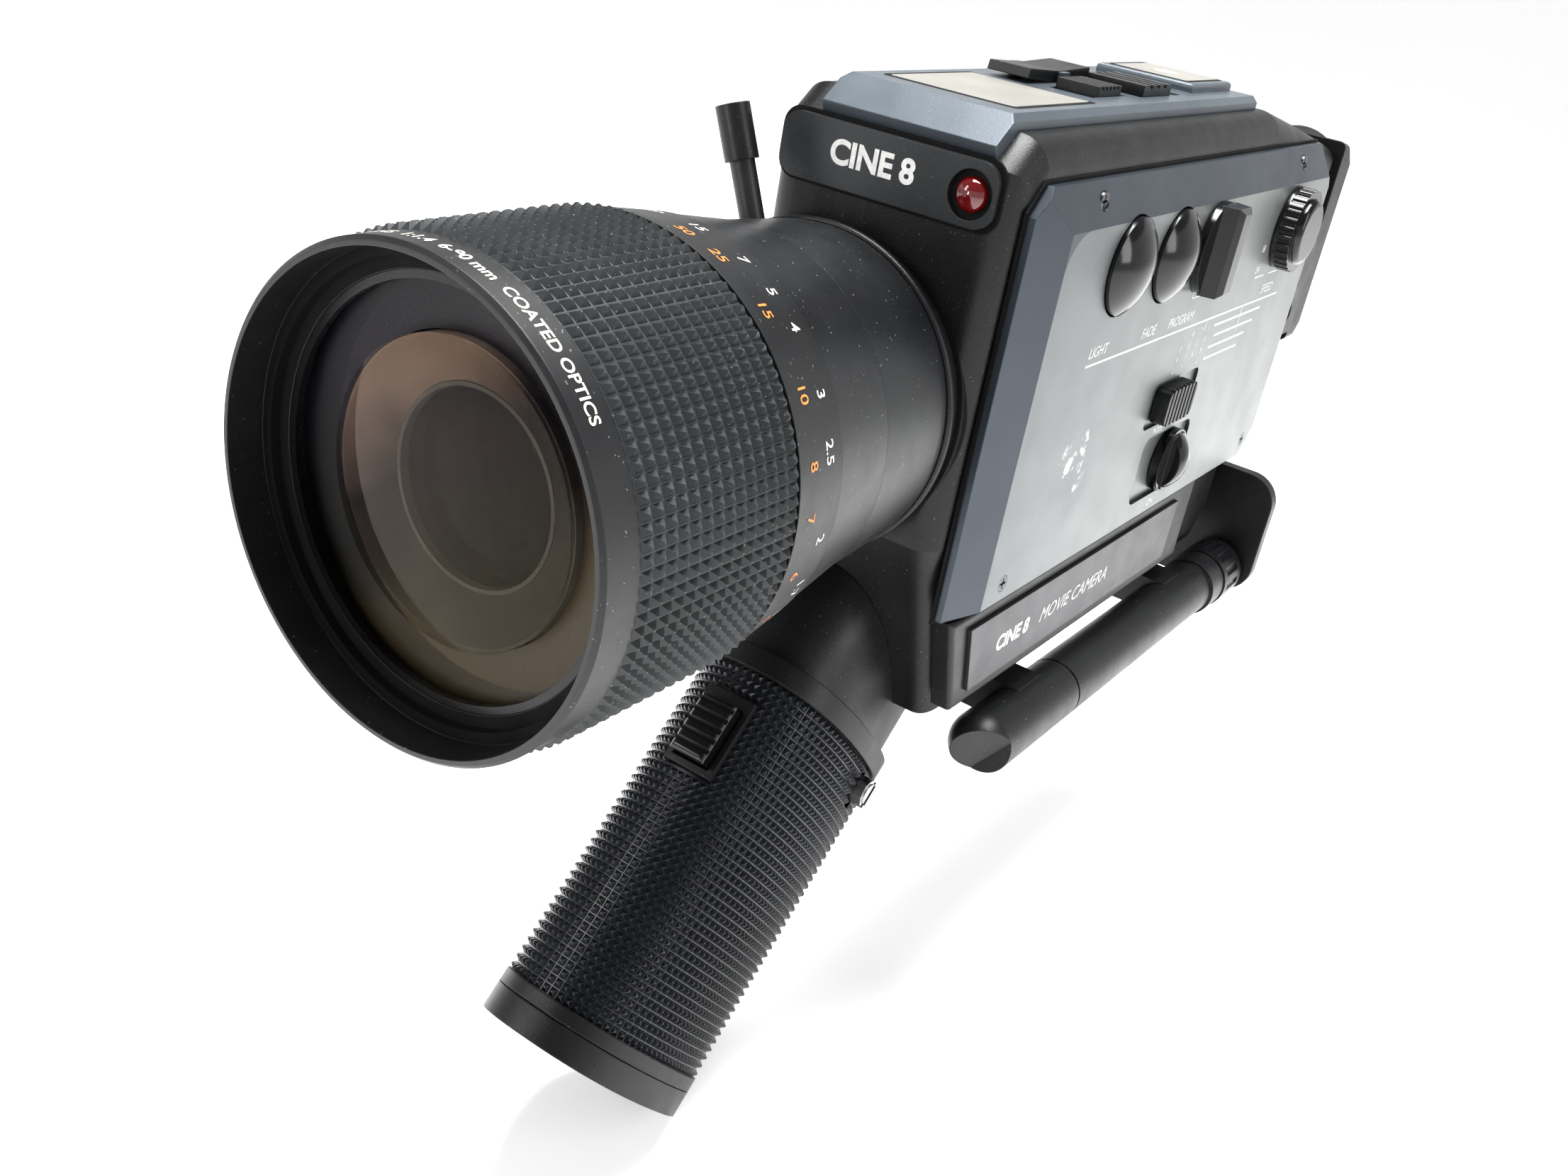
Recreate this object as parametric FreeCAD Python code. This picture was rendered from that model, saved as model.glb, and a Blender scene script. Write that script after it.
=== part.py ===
"""Cine camera with a large zoom lens, slanted pistol grip and pull-out shoulder brace.

Millimetres. Origin: mouth of the tripod socket in the underside of the body.
+X is the control-panel side, -Y is the way the lens points, +Z is up.
"""
import FreeCAD, Part
import math
import os

V = FreeCAD.Vector
X_AXIS, Y_AXIS, Z_AXIS = V(1, 0, 0), V(0, 1, 0), V(0, 0, 1)

# ---- body casing ----
HALF_WIDTH = 27.5
WALL = 2.2
SEAM_X = -4.5
FRONT_Y = -88.0
REAR_Y = 118.0
TOP_Z = 128.5
CASING_OUTLINE = [(FRONT_Y, 122.5), (-80.5, TOP_Z), (55, TOP_Z), (87, 123), (REAR_Y, 117), (REAR_Y, 62),
                  (104, 58), (97, 50), (97, 12), (87, 0), (-69.6, 0), (FRONT_Y, 46)]
EDGE_ROUND = 6.5

# ---- lens, on an axis parallel to Y ----
LENS_X, LENS_Z = -7.5, 72.0
RIM_Y = -200.0
RIM_R = 40.0
FILTER_R = 38.5
RUBBER_Y0, RUBBER_Y1 = -192.2, -154.1
RUBBER_R = 41.0
SCALE_END_Y = -138.65
ZOOM_Y0, ZOOM_Y1 = -118.7, -96.3
TUBE_R, TUBE_BORE = 28.5, 24.0
TAIL_R, TAIL_BORE = 17.5, 15.0
TAIL_END_Y = -62.0
RING_GAP = 0.3
LEVER_Y = -100.5
LEVER_TILT = 23.3
LEVER_TOP = 55.4

# ---- pistol grip, in its own slanted frame ----
GRIP_AT = V(-1.0, -83.2, -8.0)
GRIP_SLANT = -45.5
GRIP_A, GRIP_B = 19.5, 31.0
OVAL_POWER = 2.4
GRIP_END = -80.0
CAP_END = -86.0
SLEEVE_END = -77.0
COLLAR_TOP = 5.0
BAY_A, BAY_B, BAY_Y, BAY_TOP = 15.3, 23.0, 3.0, 24.0
CELL_R, CELL_LENGTH = 7.1, 50.0
CELL_SPOTS = [(-7.3, -4.2), (7.3, -4.2), (0.0, 8.6)]
TRIGGER_HALF = 4.3
BEZEL_HALF = 6.0
TRIGGER_Z0, TRIGGER_Z1 = -23.0, -9.5

ROCKER_Y = -19.5

# ---- control panel ----
PANEL_X0, PANEL_X1, PANEL_EDGE_X = HALF_WIDTH, 32.5, 29.5
DOME_R, DOME_HEIGHT = 10.5, 3.8
DOME_SPOTS = {"backlight_button": (-39.0, 102.0), "fade_button": (-13.0, 101.5)}
LEVER_SPOT = (10.4, 101.0)
DIAL_SPOT = (68.0, 100.5)
DIAL_R = 10.8
SLIDE_SPOT = (13.0, 62.8)
ROTARY_SPOT = (23.0, 44.8)
KNOB_LIFT = 0.35
RAIL_X = 31.5
SCREW_R, SCREW_SINK = 1.9, 0.9
SCREW_SPOTS = [(30.0, -57, 116.5), (31.6, -63.6, 35.3), (30.0, 72, 116.5), (31.6, 89.0, 36.0)]
SOCKET_Y, SOCKET_BACK_X, SOCKET_FACE_X = 107.0, 21.6, 29.6
SOCKETS = [(86.5, 1.75), (79.0, 1.75), (70.5, 3.1)]
SHAFT_R, SHAFT_GAP = 3.0, 0.05
SHAFT_END_X = 27.9

# ---- film chamber, drive and finder ----
CHAMBER = (-27.4, 6.1, 7.2, 88.8, 20.2, 96.8)
CHAMBER_WALL = 1.5
DRIVE_X, DRIVE_Z = 1.0, 55.0
GEAR_MODULE = 0.8
GEAR_TEETH, PINION_TEETH = 32, 10
SHUTTER_R = 22.5
FINDER_X, FINDER_Z = 6.0, 102.5

# ---- film door ----
DOOR = (-38.0, 97.0, 14.0, 117.0)
DOOR_X0, DOOR_X1 = -31.9, -27.8
DOOR_PIN = (-30.2, -42.0)
DOOR_PIN_R = 1.2

# ---- shoulder brace, parallel to Y ----
BRACE_X, BRACE_Z = 33.5, -8.0
BRACE_R, ROD_R = 7.7, 6.0
BRACE_Y0, BRACE_Y1 = -55.0, 84.0
BRACE_SEAM_Y = -18.0
COLLAR_Y0, COLLAR_Y1 = 84.3, 98.3
PAD_Y0, PAD_Y1 = 101.0, 105.0
SPIGOT_R = 3.0


def block(x0, x1, y0, y1, z0, z1):
    return Part.makeBox(x1 - x0, y1 - y0, z1 - z0, V(x0, y0, z0))


def rod(start, along, radius, length):
    return Part.makeCylinder(radius, length, start, along)


def prism(points, move):
    """Closed polygon of vectors, extruded by a vector."""
    return Part.Face(Part.makePolygon(points + [points[0]])).extrude(move)


def prism_x(outline, x0, x1):
    return prism([V(x0, y, z) for y, z in outline], V(x1 - x0, 0, 0))


def prism_y(outline, y0, y1):
    return prism([V(x, y0, z) for x, z in outline], V(0, y1 - y0, 0))


def turned(profile, x=LENS_X, z=LENS_Z):
    """Ring turned about an axis parallel to Y from (y, radius) points."""
    points = [V(x + r, y, z) for y, r in profile]
    face = Part.Face(Part.makePolygon(points + [points[0]]))
    return face.revolve(V(x, 0, z), Y_AXIS, 360)


def tube_y(x, z, y0, y1, outer, inner):
    return rod(V(x, y0, z), Y_AXIS, outer, y1 - y0).cut(rod(V(x, y0 - 1, z), Y_AXIS, inner, y1 - y0 + 2))


def lens_y(x, z, y_front, y_rear, radius, front_bulge, rear_bulge):
    """Glass element: edge cylinder between two spherical faces that bulge outwards."""
    f0, f1 = V(x, y_front - front_bulge, z), V(x + radius, y_front, z)
    r1, r0 = V(x + radius, y_rear, z), V(x, y_rear + rear_bulge, z)
    mid_r = radius * 0.5
    front_R = (radius ** 2 + front_bulge ** 2) / (2 * front_bulge)
    rear_R = (radius ** 2 + rear_bulge ** 2) / (2 * rear_bulge)
    front_mid = y_front - front_bulge + front_R - math.sqrt(front_R ** 2 - mid_r ** 2)
    rear_mid = y_rear + rear_bulge - rear_R + math.sqrt(rear_R ** 2 - mid_r ** 2)
    edges = [Part.Arc(f0, V(x + mid_r, front_mid, z), f1).toShape(), Part.LineSegment(f1, r1).toShape(),
             Part.Arc(r1, V(x + mid_r, rear_mid, z), r0).toShape(), Part.LineSegment(r0, f0).toShape()]
    return Part.Face(Part.Wire(edges)).revolve(V(x, 0, z), Y_AXIS, 360)


def rounded_yz(y0, y1, z0, z1, x0, x1, radius):
    """Slab in the YZ plane with four rounded corners."""
    slab = block(x0, x1, y0, y1, z0, z1)
    corners = [e for e in slab.Edges if abs(e.tangentAt(e.FirstParameter).x) > 0.9]
    return slab.makeFillet(radius, corners)


def oval_prism(a, b, z0, z1, centre_y=0.0):
    """Prism of a squarish oval |x/a|^n + |y/b|^n = 1 along the grip's own Z."""
    count = 32
    points = []
    for step in range(count):
        turn = 2 * math.pi * step / count
        c, s = math.cos(turn), math.sin(turn)
        x = math.copysign(abs(c) ** (2 / OVAL_POWER), c) * a
        y = math.copysign(abs(s) ** (2 / OVAL_POWER), s) * b
        points.append(V(x, y + centre_y, z0))
    curve = Part.BSplineCurve()
    curve.interpolate(points, PeriodicFlag=True)
    return Part.Face(Part.Wire(curve.toShape())).extrude(V(0, 0, z1 - z0))


def in_grip(shape):
    """Moves a shape from the grip's slanted frame into the camera's frame."""
    placed = shape.copy()
    placed.rotate(V(0, 0, 0), X_AXIS, GRIP_SLANT)
    placed.translate(GRIP_AT)
    return placed


def fused(*shapes):
    return shapes[0].multiFuse(list(shapes[1:])).removeSplitter()


def gear_y(x, z, y0, y1, teeth, bore, phase=0.0):
    """Spur gear with straight-sided teeth on an axis parallel to Y."""
    pitch_r = GEAR_MODULE * teeth / 2
    tip, root = pitch_r + 0.7 * GEAR_MODULE, pitch_r - 1.1 * GEAR_MODULE
    outline = []
    for tooth in range(teeth):
        for share, radius in ((-0.30, root), (-0.12, tip), (0.12, tip), (0.30, root)):
            turn = 2 * math.pi * (tooth + share + phase) / teeth
            outline.append((x + radius * math.cos(turn), z + radius * math.sin(turn)))
    blank = prism_y(outline, y0, y1)
    return blank.cut(rod(V(x, y0 - 1, z), Y_AXIS, bore, y1 - y0 + 2)) if bore else blank


# ---------------------------------------------------------------- casing

def casing_outer():
    solid = prism_x(CASING_OUTLINE, -HALF_WIDTH, HALF_WIDTH)
    side_edges = [e for e in solid.Edges if all(abs(abs(v.X) - HALF_WIDTH) < 1e-6 for v in e.Vertexes)
                  and abs(e.Vertexes[0].X - e.Vertexes[1].X) < 1e-6]
    return solid.makeFillet(EDGE_ROUND, side_edges)


def casing_inner():
    wire = Part.makePolygon([V(0, y, z) for y, z in CASING_OUTLINE + CASING_OUTLINE[:1]])
    face = Part.Face(wire.makeOffset2D(-WALL))
    inner = face.extrude(V(2 * (HALF_WIDTH - WALL), 0, 0))
    inner.translate(V(WALL - HALF_WIDTH, 0, 0))
    return inner


def casing_holes():
    """Openings that cross both half shells."""
    lens_hole = rod(V(LENS_X, FRONT_Y - 5, LENS_Z), Y_AXIS, TAIL_R + 0.1, 15)
    socket_hole = rod(V(0, 0, -1), Z_AXIS, 5.5, 8)
    finder_hole = rod(V(FINDER_X, REAR_Y - 5, FINDER_Z), Y_AXIS, 10.1, 10)
    lamp_hole = rod(V(18.0, FRONT_Y - 5, 117.0), Y_AXIS, 3.4, 15)
    return [lens_hole, socket_hole, finder_hole, lamp_hole]


def lens_boss():
    """Round swelling of the front that backs the lens flange beyond the flat side."""
    return turned([(FRONT_Y, 12), (FRONT_Y, 33.5), (-78, 33.5), (-56, 19), (-56, 12)])


def half_shells():
    outer = fused(casing_outer(), lens_boss())
    shell = outer.cut(casing_inner()).cut(turned([(-80, 0), (-80, 31), (-57, 17), (-57, 0)]))
    for hole in casing_holes():
        shell = shell.cut(hole)
    shell = shell.cut(in_grip(battery_bay()))
    far = 200.0
    door_half = shell.common(block(-far, SEAM_X, -far, far, -far, far))
    x0, x1, y0, y1, z0, z1 = CHAMBER
    door_half = door_half.cut(block(-40, -20, y0, y1, z0, z1))
    panel_half = shell.common(block(SEAM_X, far, -far, far, -far, far))
    rail = prism_x([(-82.0, 30.4), (60, 30.4), (60, 6), (-72.4, 6)], HALF_WIDTH - 1, RAIL_X)
    rail_edges = [e for e in rail.Edges if all(abs(v.X - RAIL_X) < 1e-6 for v in e.Vertexes)]
    rail = rail.makeFillet(1.2, rail_edges)
    panel_half = fused(panel_half, rail).cut(socket_body())
    return door_half, panel_half


def top_cover():
    outline = [(-87.0, 123.3), (-80.5, TOP_Z), (52, TOP_Z), (52, 131.5), (-81.5, 131.5), (-88.2, 126.2)]
    cover = prism_x(outline, -17.5, 20.5)
    long_edges = [e for e in cover.Edges if e.Length > 120 and e.Vertexes[0].Z > 131]
    cover = cover.makeChamfer(1.4, long_edges)
    plinth = block(-11.5, 13.5, 23, 50, 131.5, 133.6)
    plinth = plinth.makeFillet(1.0, [e for e in plinth.Edges if e.Vertexes[0].Z > 133 and e.Vertexes[-1].Z > 133])
    pivot = rod(V(-12.6, ROCKER_Y, 132.6), X_AXIS, 0.9, 12.6)
    ears = [block(x, x + 1.2, ROCKER_Y - 1.8, ROCKER_Y + 1.8, 131.5, 133.9) for x in (-12.9, -1.1)]
    key_wells = [block(1.8, 12.2, -31, -13, 131.0, 132), block(-0.2, 14.2, -9, 15, 131.0, 132)]
    cover = fused(cover, plinth, pivot, *ears)
    for well in key_wells:
        cover = cover.cut(well)
    return cover


def zoom_rocker():
    outline = [(-15.5, 132.6), (-3, 131.8), (3, 131.8), (15.5, 132.6), (15.0, 134.6), (1.5, 134.0), (-1.5, 134.0),
               (-15.0, 134.6)]
    rocker = prism_x([(y + ROCKER_Y, z) for y, z in outline], -11.4, -1.4)
    return rocker.cut(rod(V(-20, ROCKER_Y, 132.6), X_AXIS, 0.95, 30))


def ribbed_key(x0, x1, y0, y1, z0, z1, ribs):
    """Sliding key whose top is cut by cross grooves."""
    key = block(x0, x1, y0, y1, z0, z1)
    pitch = (y1 - y0) / (ribs + 1)
    for step in range(1, ribs + 1):
        middle = y0 + step * pitch
        key = key.cut(block(x0 - 1, x1 + 1, middle - pitch * 0.2, middle + pitch * 0.2, z1 - 0.8, z1 + 1))
    return key


def rear_frame():
    outline = [(REAR_Y, 60), (REAR_Y, 119), (124, 118), (130, 113), (130, 64), (126, 60)]
    frame = prism_x(outline, -28.5, 28.5)
    side_edges = [e for e in frame.Edges if all(abs(abs(v.X) - 28.5) < 1e-6 for v in e.Vertexes)
                  and abs(e.Vertexes[0].X - e.Vertexes[1].X) < 1e-6 and e.Vertexes[0].Y + e.Vertexes[1].Y > 237]
    frame = frame.makeFillet(2.0, side_edges)
    frame = frame.cut(block(-25, 25, REAR_Y - 1, 126.5, 63.5, 114.5))
    return frame.cut(rod(V(FINDER_X, 110, FINDER_Z), Y_AXIS, 10.1, 30))


def front_name_plate():
    plate = block(-24.5, 23.4, -89.6, FRONT_Y, 111.0, 123.4)
    ends = [e for e in plate.Edges if abs(e.tangentAt(e.FirstParameter).y) > 0.9]
    plate = plate.makeFillet(4.0, ends)
    return plate.cut(rod(V(18.0, -95, 117.0), Y_AXIS, 4.6, 10))


def led_lamp():
    lens = lens_y(18.0, 117.0, -89.0, -86.5, 3.3, 2.2, 0.4)
    stem = rod(V(18.0, -87.5, 117.0), Y_AXIS, 2.9, 5)
    return fused(lens, stem)


def side_name_plate():
    return prism_x([(-73.5, 27), (46, 27), (46, 10), (-68, 10)], RAIL_X, RAIL_X + 0.9)


def socket_block():
    slab = fused(rounded_yz(99.0, 115.0, 64.0, 92.0, HALF_WIDTH, SOCKET_FACE_X, 2.0), socket_body())
    for z, radius in SOCKETS:
        slab = slab.cut(rod(V(0, SOCKET_Y, z), X_AXIS, radius, HALF_WIDTH * 2))
    return slab


def socket_body():
    return block(SOCKET_BACK_X, HALF_WIDTH, 101, 113, 65.5, 90.5)


def casing_screws():
    """Identical cross-slotted screws of the control panel, sunk in their seats."""
    heads = []
    for spot in [V(*place) for place in SCREW_SPOTS]:
        head = rod(spot, X_AXIS, SCREW_R, SCREW_SINK)
        slots = [block(spot.x + 0.4, spot.x + 1, spot.y - a, spot.y + a, spot.z - b, spot.z + b)
                 for a, b in ((1.3, 0.25), (0.25, 1.3))]
        heads.append(head.cut(slots[0]).cut(slots[1]))
    return Part.makeCompound(heads)


def screw_seats():
    return [rod(V(*place), X_AXIS, SCREW_R + 0.05, 5) for place in SCREW_SPOTS]


def tripod_bush():
    return rod(V(0, 0, 0), Z_AXIS, 5.5, 9.0).cut(rod(V(0, 0, -1), Z_AXIS, 3.175, 8.0))


# ---------------------------------------------------------------- control panel

def control_panel():
    outline = [(-84, 31), (90, 31), (97, 38), (97, 109), (88, 120.5), (-79, 120.5), (-84, 115)]
    panel = prism_x(outline, PANEL_X0, PANEL_X1)
    far = 140.0
    front_bevel = prism([V(PANEL_EDGE_X, -84, 0), V(PANEL_X1, -72, 0), V(40, -72, 0), V(40, -90, 0),
                         V(PANEL_EDGE_X, -90, 0)], V(0, 0, far))
    top_bevel = prism([V(PANEL_EDGE_X, -100, 120.5), V(PANEL_X1, -100, 111.8), V(40, -100, 111.8),
                       V(40, -100, 125), V(PANEL_EDGE_X, -100, 125)], V(0, 2 * far, 0))
    panel = panel.cut(front_bevel).cut(top_bevel)
    for y, z in DOME_SPOTS.values():
        panel = panel.cut(rod(V(29.6, y, z), X_AXIS, DOME_R + 0.35, 10))
        panel = panel.cut(rod(V(20, y, z), X_AXIS, SHAFT_R + SHAFT_GAP, 20))
    for y, z in (LEVER_SPOT, DIAL_SPOT, ROTARY_SPOT):
        panel = panel.cut(rod(V(20, y, z), X_AXIS, SHAFT_R + SHAFT_GAP, 20))
    y, z = SLIDE_SPOT
    panel = panel.cut(rounded_yz(y - 14, y + 16, z - 5.8, z + 5.8, 31.6, 40, 2.0))
    panel = panel.cut(block(20, 40, y - 6, y + 12, z - 1.7, z + 1.7))
    y, z = ROTARY_SPOT
    panel = panel.cut(rounded_yz(y - 19, y + 12, z - 8.9, z + 8.9, 31.4, 40, 3.0))
    for seat in screw_seats():
        panel = panel.cut(seat)
    return panel


def dome_button(spot):
    y, z = spot
    rim_x = 33.4
    skirt = rod(V(31.9, y, z), X_AXIS, DOME_R, rim_x - 31.9)
    sphere_r = (DOME_R ** 2 + DOME_HEIGHT ** 2) / (2 * DOME_HEIGHT)
    ball = Part.makeSphere(sphere_r, V(rim_x + DOME_HEIGHT - sphere_r, y, z))
    dome = ball.common(block(rim_x, 60, y - 30, y + 30, z - 30, z + 30))
    return fused(skirt, dome, rod(V(29.9, y, z), X_AXIS, SHAFT_R, 2.2))


def knob_base(spot, radius, x1):
    y, z = spot
    x0 = PANEL_X1 + KNOB_LIFT
    return [rod(V(x0, y, z), X_AXIS, radius, x1 - x0), rod(V(SHAFT_END_X, y, z), X_AXIS, SHAFT_R, x0 - SHAFT_END_X + 1)]


def program_lever():
    y, z = LEVER_SPOT
    bar = prism([V(34.0, y - 5.0, z), V(39.2, y - 3.4, z), V(39.2, y + 3.4, z), V(34.0, y + 5.0, z)], V(0, 0, 21.0))
    bar.translate(V(0, 0, -10.5))
    bar = bar.makeChamfer(1.2, [e for e in bar.Edges if e.Vertexes[0].X > 39 and e.Vertexes[-1].X > 39])
    return fused(*knob_base(LEVER_SPOT, 11.0, 34.6), bar)


def serrated_dial():
    y, z = DIAL_SPOT
    base = fused(*knob_base(DIAL_SPOT, DIAL_R, 37.4))
    notches = 30
    for step in range(notches):
        turn = 2 * math.pi * step / notches
        at = V(33.8, y + (DIAL_R + 0.35) * math.cos(turn), z + (DIAL_R + 0.35) * math.sin(turn))
        base = base.cut(rod(at, X_AXIS, 0.75, 10))
    cap = rod(V(37.0, y, z), X_AXIS, 8.6, 2.2)
    cap = cap.makeFillet(1.6, [e for e in cap.Edges if e.Vertexes[0].X > 39])
    return fused(base, cap)


def slide_switch():
    y, z = SLIDE_SPOT
    slider = rounded_yz(y - 10, y + 8, z - 4.6, z + 4.6, 32.0, 35.8, 2.4)
    for step in range(7):
        middle = y - 8.2 + step * 2.4
        slider = slider.cut(block(34.9, 40, middle - 0.5, middle + 0.5, z - 6, z + 6))
    return fused(slider, block(28.3, 32.5, y - 4.5, y + 2.5, z - 1.5, z + 1.5))


def rotary_switch():
    y, z = ROTARY_SPOT
    disc = rod(V(31.8, y, z), X_AXIS, 8.4, 2.4)
    shaft = rod(V(SHAFT_END_X, y, z), X_AXIS, SHAFT_R, 5)
    dome = Part.makeSphere(8.9, V(29.4, y, z)).common(block(33.5, 60, y - 3.4, y + 3.4, z - 9, z + 9))
    bar = fused(dome, block(33.0, 34.6, y - 3.4, y + 3.4, z - 7.2, z + 7.2))
    return fused(disc, shaft, bar)


# ---------------------------------------------------------------- lens

def lens_barrel():
    return turned([(-170, TUBE_BORE), (-170, TUBE_R), (-96, TUBE_R), (-96, 33.3), (FRONT_Y, 32.2), (FRONT_Y, TAIL_R),
                   (TAIL_END_Y, TAIL_R), (TAIL_END_Y, TAIL_BORE), (-91, TAIL_BORE), (-91, TUBE_BORE)])


def index_ring():
    return turned([(SCALE_END_Y + RING_GAP, TUBE_R), (SCALE_END_Y + RING_GAP, 38.1), (ZOOM_Y0 - RING_GAP, 35.3),
                   (ZOOM_Y0 - RING_GAP, TUBE_R)])


def focus_barrel():
    bore = TUBE_R + RING_GAP
    return turned([(RIM_Y, FILTER_R), (RIM_Y, 39.3), (RIM_Y + 0.7, RIM_R), (-192.3, RIM_R), (-192.3, 38.6),
                   (-154.0, 38.6), (-154.0, 40.4), (SCALE_END_Y, 38.4), (SCALE_END_Y, bore), (-171, bore),
                   (-171, 31.2), (-177.6, 31.2), (-177.6, 34.4), (-191.4, 34.4), (-191.4, 36.6),
                   (-193.2, 36.6), (-193.2, FILTER_R)])


def focus_rubber():
    return turned([(RUBBER_Y0, 38.7), (RUBBER_Y0, RUBBER_R), (RUBBER_Y1, RUBBER_R - 0.3), (RUBBER_Y1, 38.7)])


def front_retaining_ring():
    return turned([(-191.2, 33.0), (-191.2, 34.3), (-190.0, 34.3), (-190.0, 33.0)])


def front_lens_group():
    return lens_y(LENS_X, LENS_Z, -189.6, -178.0, 34.2, 3.5, 1.2)


def zoom_ring():
    ring = turned([(ZOOM_Y0, TUBE_R + RING_GAP), (ZOOM_Y0, 35.1), (ZOOM_Y1, 33.5), (ZOOM_Y1, TUBE_R + RING_GAP)])
    return ring.cut(lever_rod(31.0, 40.0, 2.5))


def lever_rod(from_r, to_r, radius):
    tilt = math.radians(LEVER_TILT)
    out = V(-math.sin(tilt), 0, math.cos(tilt))
    return rod(V(LENS_X, LEVER_Y, LENS_Z) + out * from_r, out, radius, to_r - from_r)


def zoom_lever():
    return lever_rod(31.0, LEVER_TOP - 1.5, 2.45)


def zoom_lever_sleeve():
    return lever_rod(45.0, LEVER_TOP, 3.35).cut(lever_rod(44.0, LEVER_TOP - 1.5, 2.5))


def zoom_lens_group():
    cell = turned([(-160, 19.0), (-160, 23.7), (-148, 23.7), (-148, 19.0)])
    return fused(cell, lens_y(LENS_X, LENS_Z, -158, -150, 19.3, 4.0, 2.0))


def iris_diaphragm():
    return turned([(-112, 8.0), (-112, 23.9), (-110.5, 23.9), (-110.5, 8.0)])


def rear_lens_group():
    cell = turned([(-82, 11.0), (-82, 14.9), (-66, 14.9), (-66, 11.0)])
    return fused(cell, lens_y(LENS_X, LENS_Z, -80, -68, 11.3, 2.0, 2.0))


# ---------------------------------------------------------------- film chamber and drive

def film_chamber():
    x0, x1, y0, y1, z0, z1 = CHAMBER
    w = CHAMBER_WALL
    tray = block(x0, x1, y0, y1, z0, z1).cut(block(x0 - 1, x1 - w, y0 + w, y1 - w, z0 + w, z1 - w))
    gate = block(LENS_X - 3, LENS_X + 3, y0 - 1, y0 + 3, LENS_Z - 2.2, LENS_Z + 2.2)
    spindle_hole = rod(V(0, 48, 58.5), X_AXIS, 2.05, 20)
    return tray.cut(gate).cut(spindle_hole)


def takeup_spindle():
    hub = rod(V(0.8, 48, 58.5), X_AXIS, 4.6, 3.5)
    dogs = [block(-1.2, 1.5, 47.3, 48.7, 58.5 + s, 61.9 + s) for s in (0.8, -4.2)]
    return fused(hub, rod(V(3, 48, 58.5), X_AXIS, 2.0, 6.5), rod(V(7.0, 48, 58.5), X_AXIS, 12.0, 2.0), *dogs)


def shutter_disc():
    disc = rod(V(DRIVE_X, -5.5, DRIVE_Z), Y_AXIS, SHUTTER_R, 0.8)
    opening = math.radians(75)
    far = 40.0
    wedge = prism([V(DRIVE_X, -6, DRIVE_Z), V(DRIVE_X + far * math.cos(opening), -6, DRIVE_Z + far * math.sin(opening)),
                   V(DRIVE_X + far, -6, DRIVE_Z + far), V(DRIVE_X + far, -6, DRIVE_Z)], V(0, 2, 0))
    hub = rod(V(DRIVE_X, -8, DRIVE_Z), Y_AXIS, 5.0, 4.0)
    return fused(disc.cut(wedge), hub).cut(rod(V(DRIVE_X, -9, DRIVE_Z), Y_AXIS, 1.5, 10))


def shutter_gear():
    gear = gear_y(DRIVE_X, DRIVE_Z, -18.0, -14.0, GEAR_TEETH, 0)
    return fused(gear, rod(V(DRIVE_X, -24, DRIVE_Z), Y_AXIS, 1.5, 21))


def pinion_centre_z():
    return DRIVE_Z - GEAR_MODULE * (GEAR_TEETH + PINION_TEETH) / 2 - 0.1


def motor_pinion():
    z = pinion_centre_z()
    turn_to_mesh = 0.25 * PINION_TEETH + 0.5
    gear = gear_y(DRIVE_X, z, -18.5, -13.5, PINION_TEETH, 0, turn_to_mesh)
    return fused(gear, rod(V(DRIVE_X, -24, z), Y_AXIS, 1.0, 6))


def drive_motor():
    z = pinion_centre_z()
    can = rod(V(DRIVE_X, -55, z), Y_AXIS, 10.0, 33.0)
    can = can.makeFillet(1.2, [e for e in can.Edges if len(e.Vertexes) == 1])
    boss = rod(V(DRIVE_X, -23, z), Y_AXIS, 3.0, 1.8)
    return fused(can, boss).cut(rod(V(DRIVE_X, -26, z), Y_AXIS, 1.05, 8))


def beam_splitter():
    """Right-angle prism that sends part of the light up to the finder."""
    outline = [(-60, LENS_Z - 6.5), (-47, LENS_Z + 6.5), (-60, LENS_Z + 6.5)]
    return prism_x(outline, LENS_X - 6.5, LENS_X + 6.5)


def viewfinder_tube():
    elbow = block(FINDER_X - 6, FINDER_X + 6, -60, -48, FINDER_Z - 6, FINDER_Z + 6)
    barrel = tube_y(FINDER_X, FINDER_Z, -48, 115, 5.6, 4.8)
    return fused(elbow, barrel)


def eyepiece_barrel():
    return tube_y(FINDER_X, FINDER_Z, 115.2, 146, 10.0, 8.0)


def eyepiece_lens():
    return lens_y(FINDER_X, FINDER_Z, 134, 137, 7.9, 0.8, 1.6)


def diopter_ring():
    ring = tube_y(FINDER_X, FINDER_Z, 131, 138, 13.5, 10.06)
    notches = 24
    for step in range(notches):
        turn = 2 * math.pi * step / notches
        at = V(FINDER_X + 13.8 * math.cos(turn), 130, FINDER_Z + 13.8 * math.sin(turn))
        ring = ring.cut(rod(at, Y_AXIS, 0.7, 10))
    return ring


def eyecup():
    return turned([(138.4, 10.0), (138.4, 12.6), (146, 12.9), (153, 14.6), (154, 13.9), (148, 11.2), (146, 8.0),
                   (146, 10.0)], FINDER_X, FINDER_Z)


def circuit_board():
    board = block(20.0, 21.6, 10, 92, 26, 96)
    chips = [block(18.2, 20.0, y, y + 14, z, z + 9) for y, z in ((16, 34), (16, 60), (60, 34), (66, 76))]
    return fused(board, *chips)


# ---------------------------------------------------------------- film door

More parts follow.
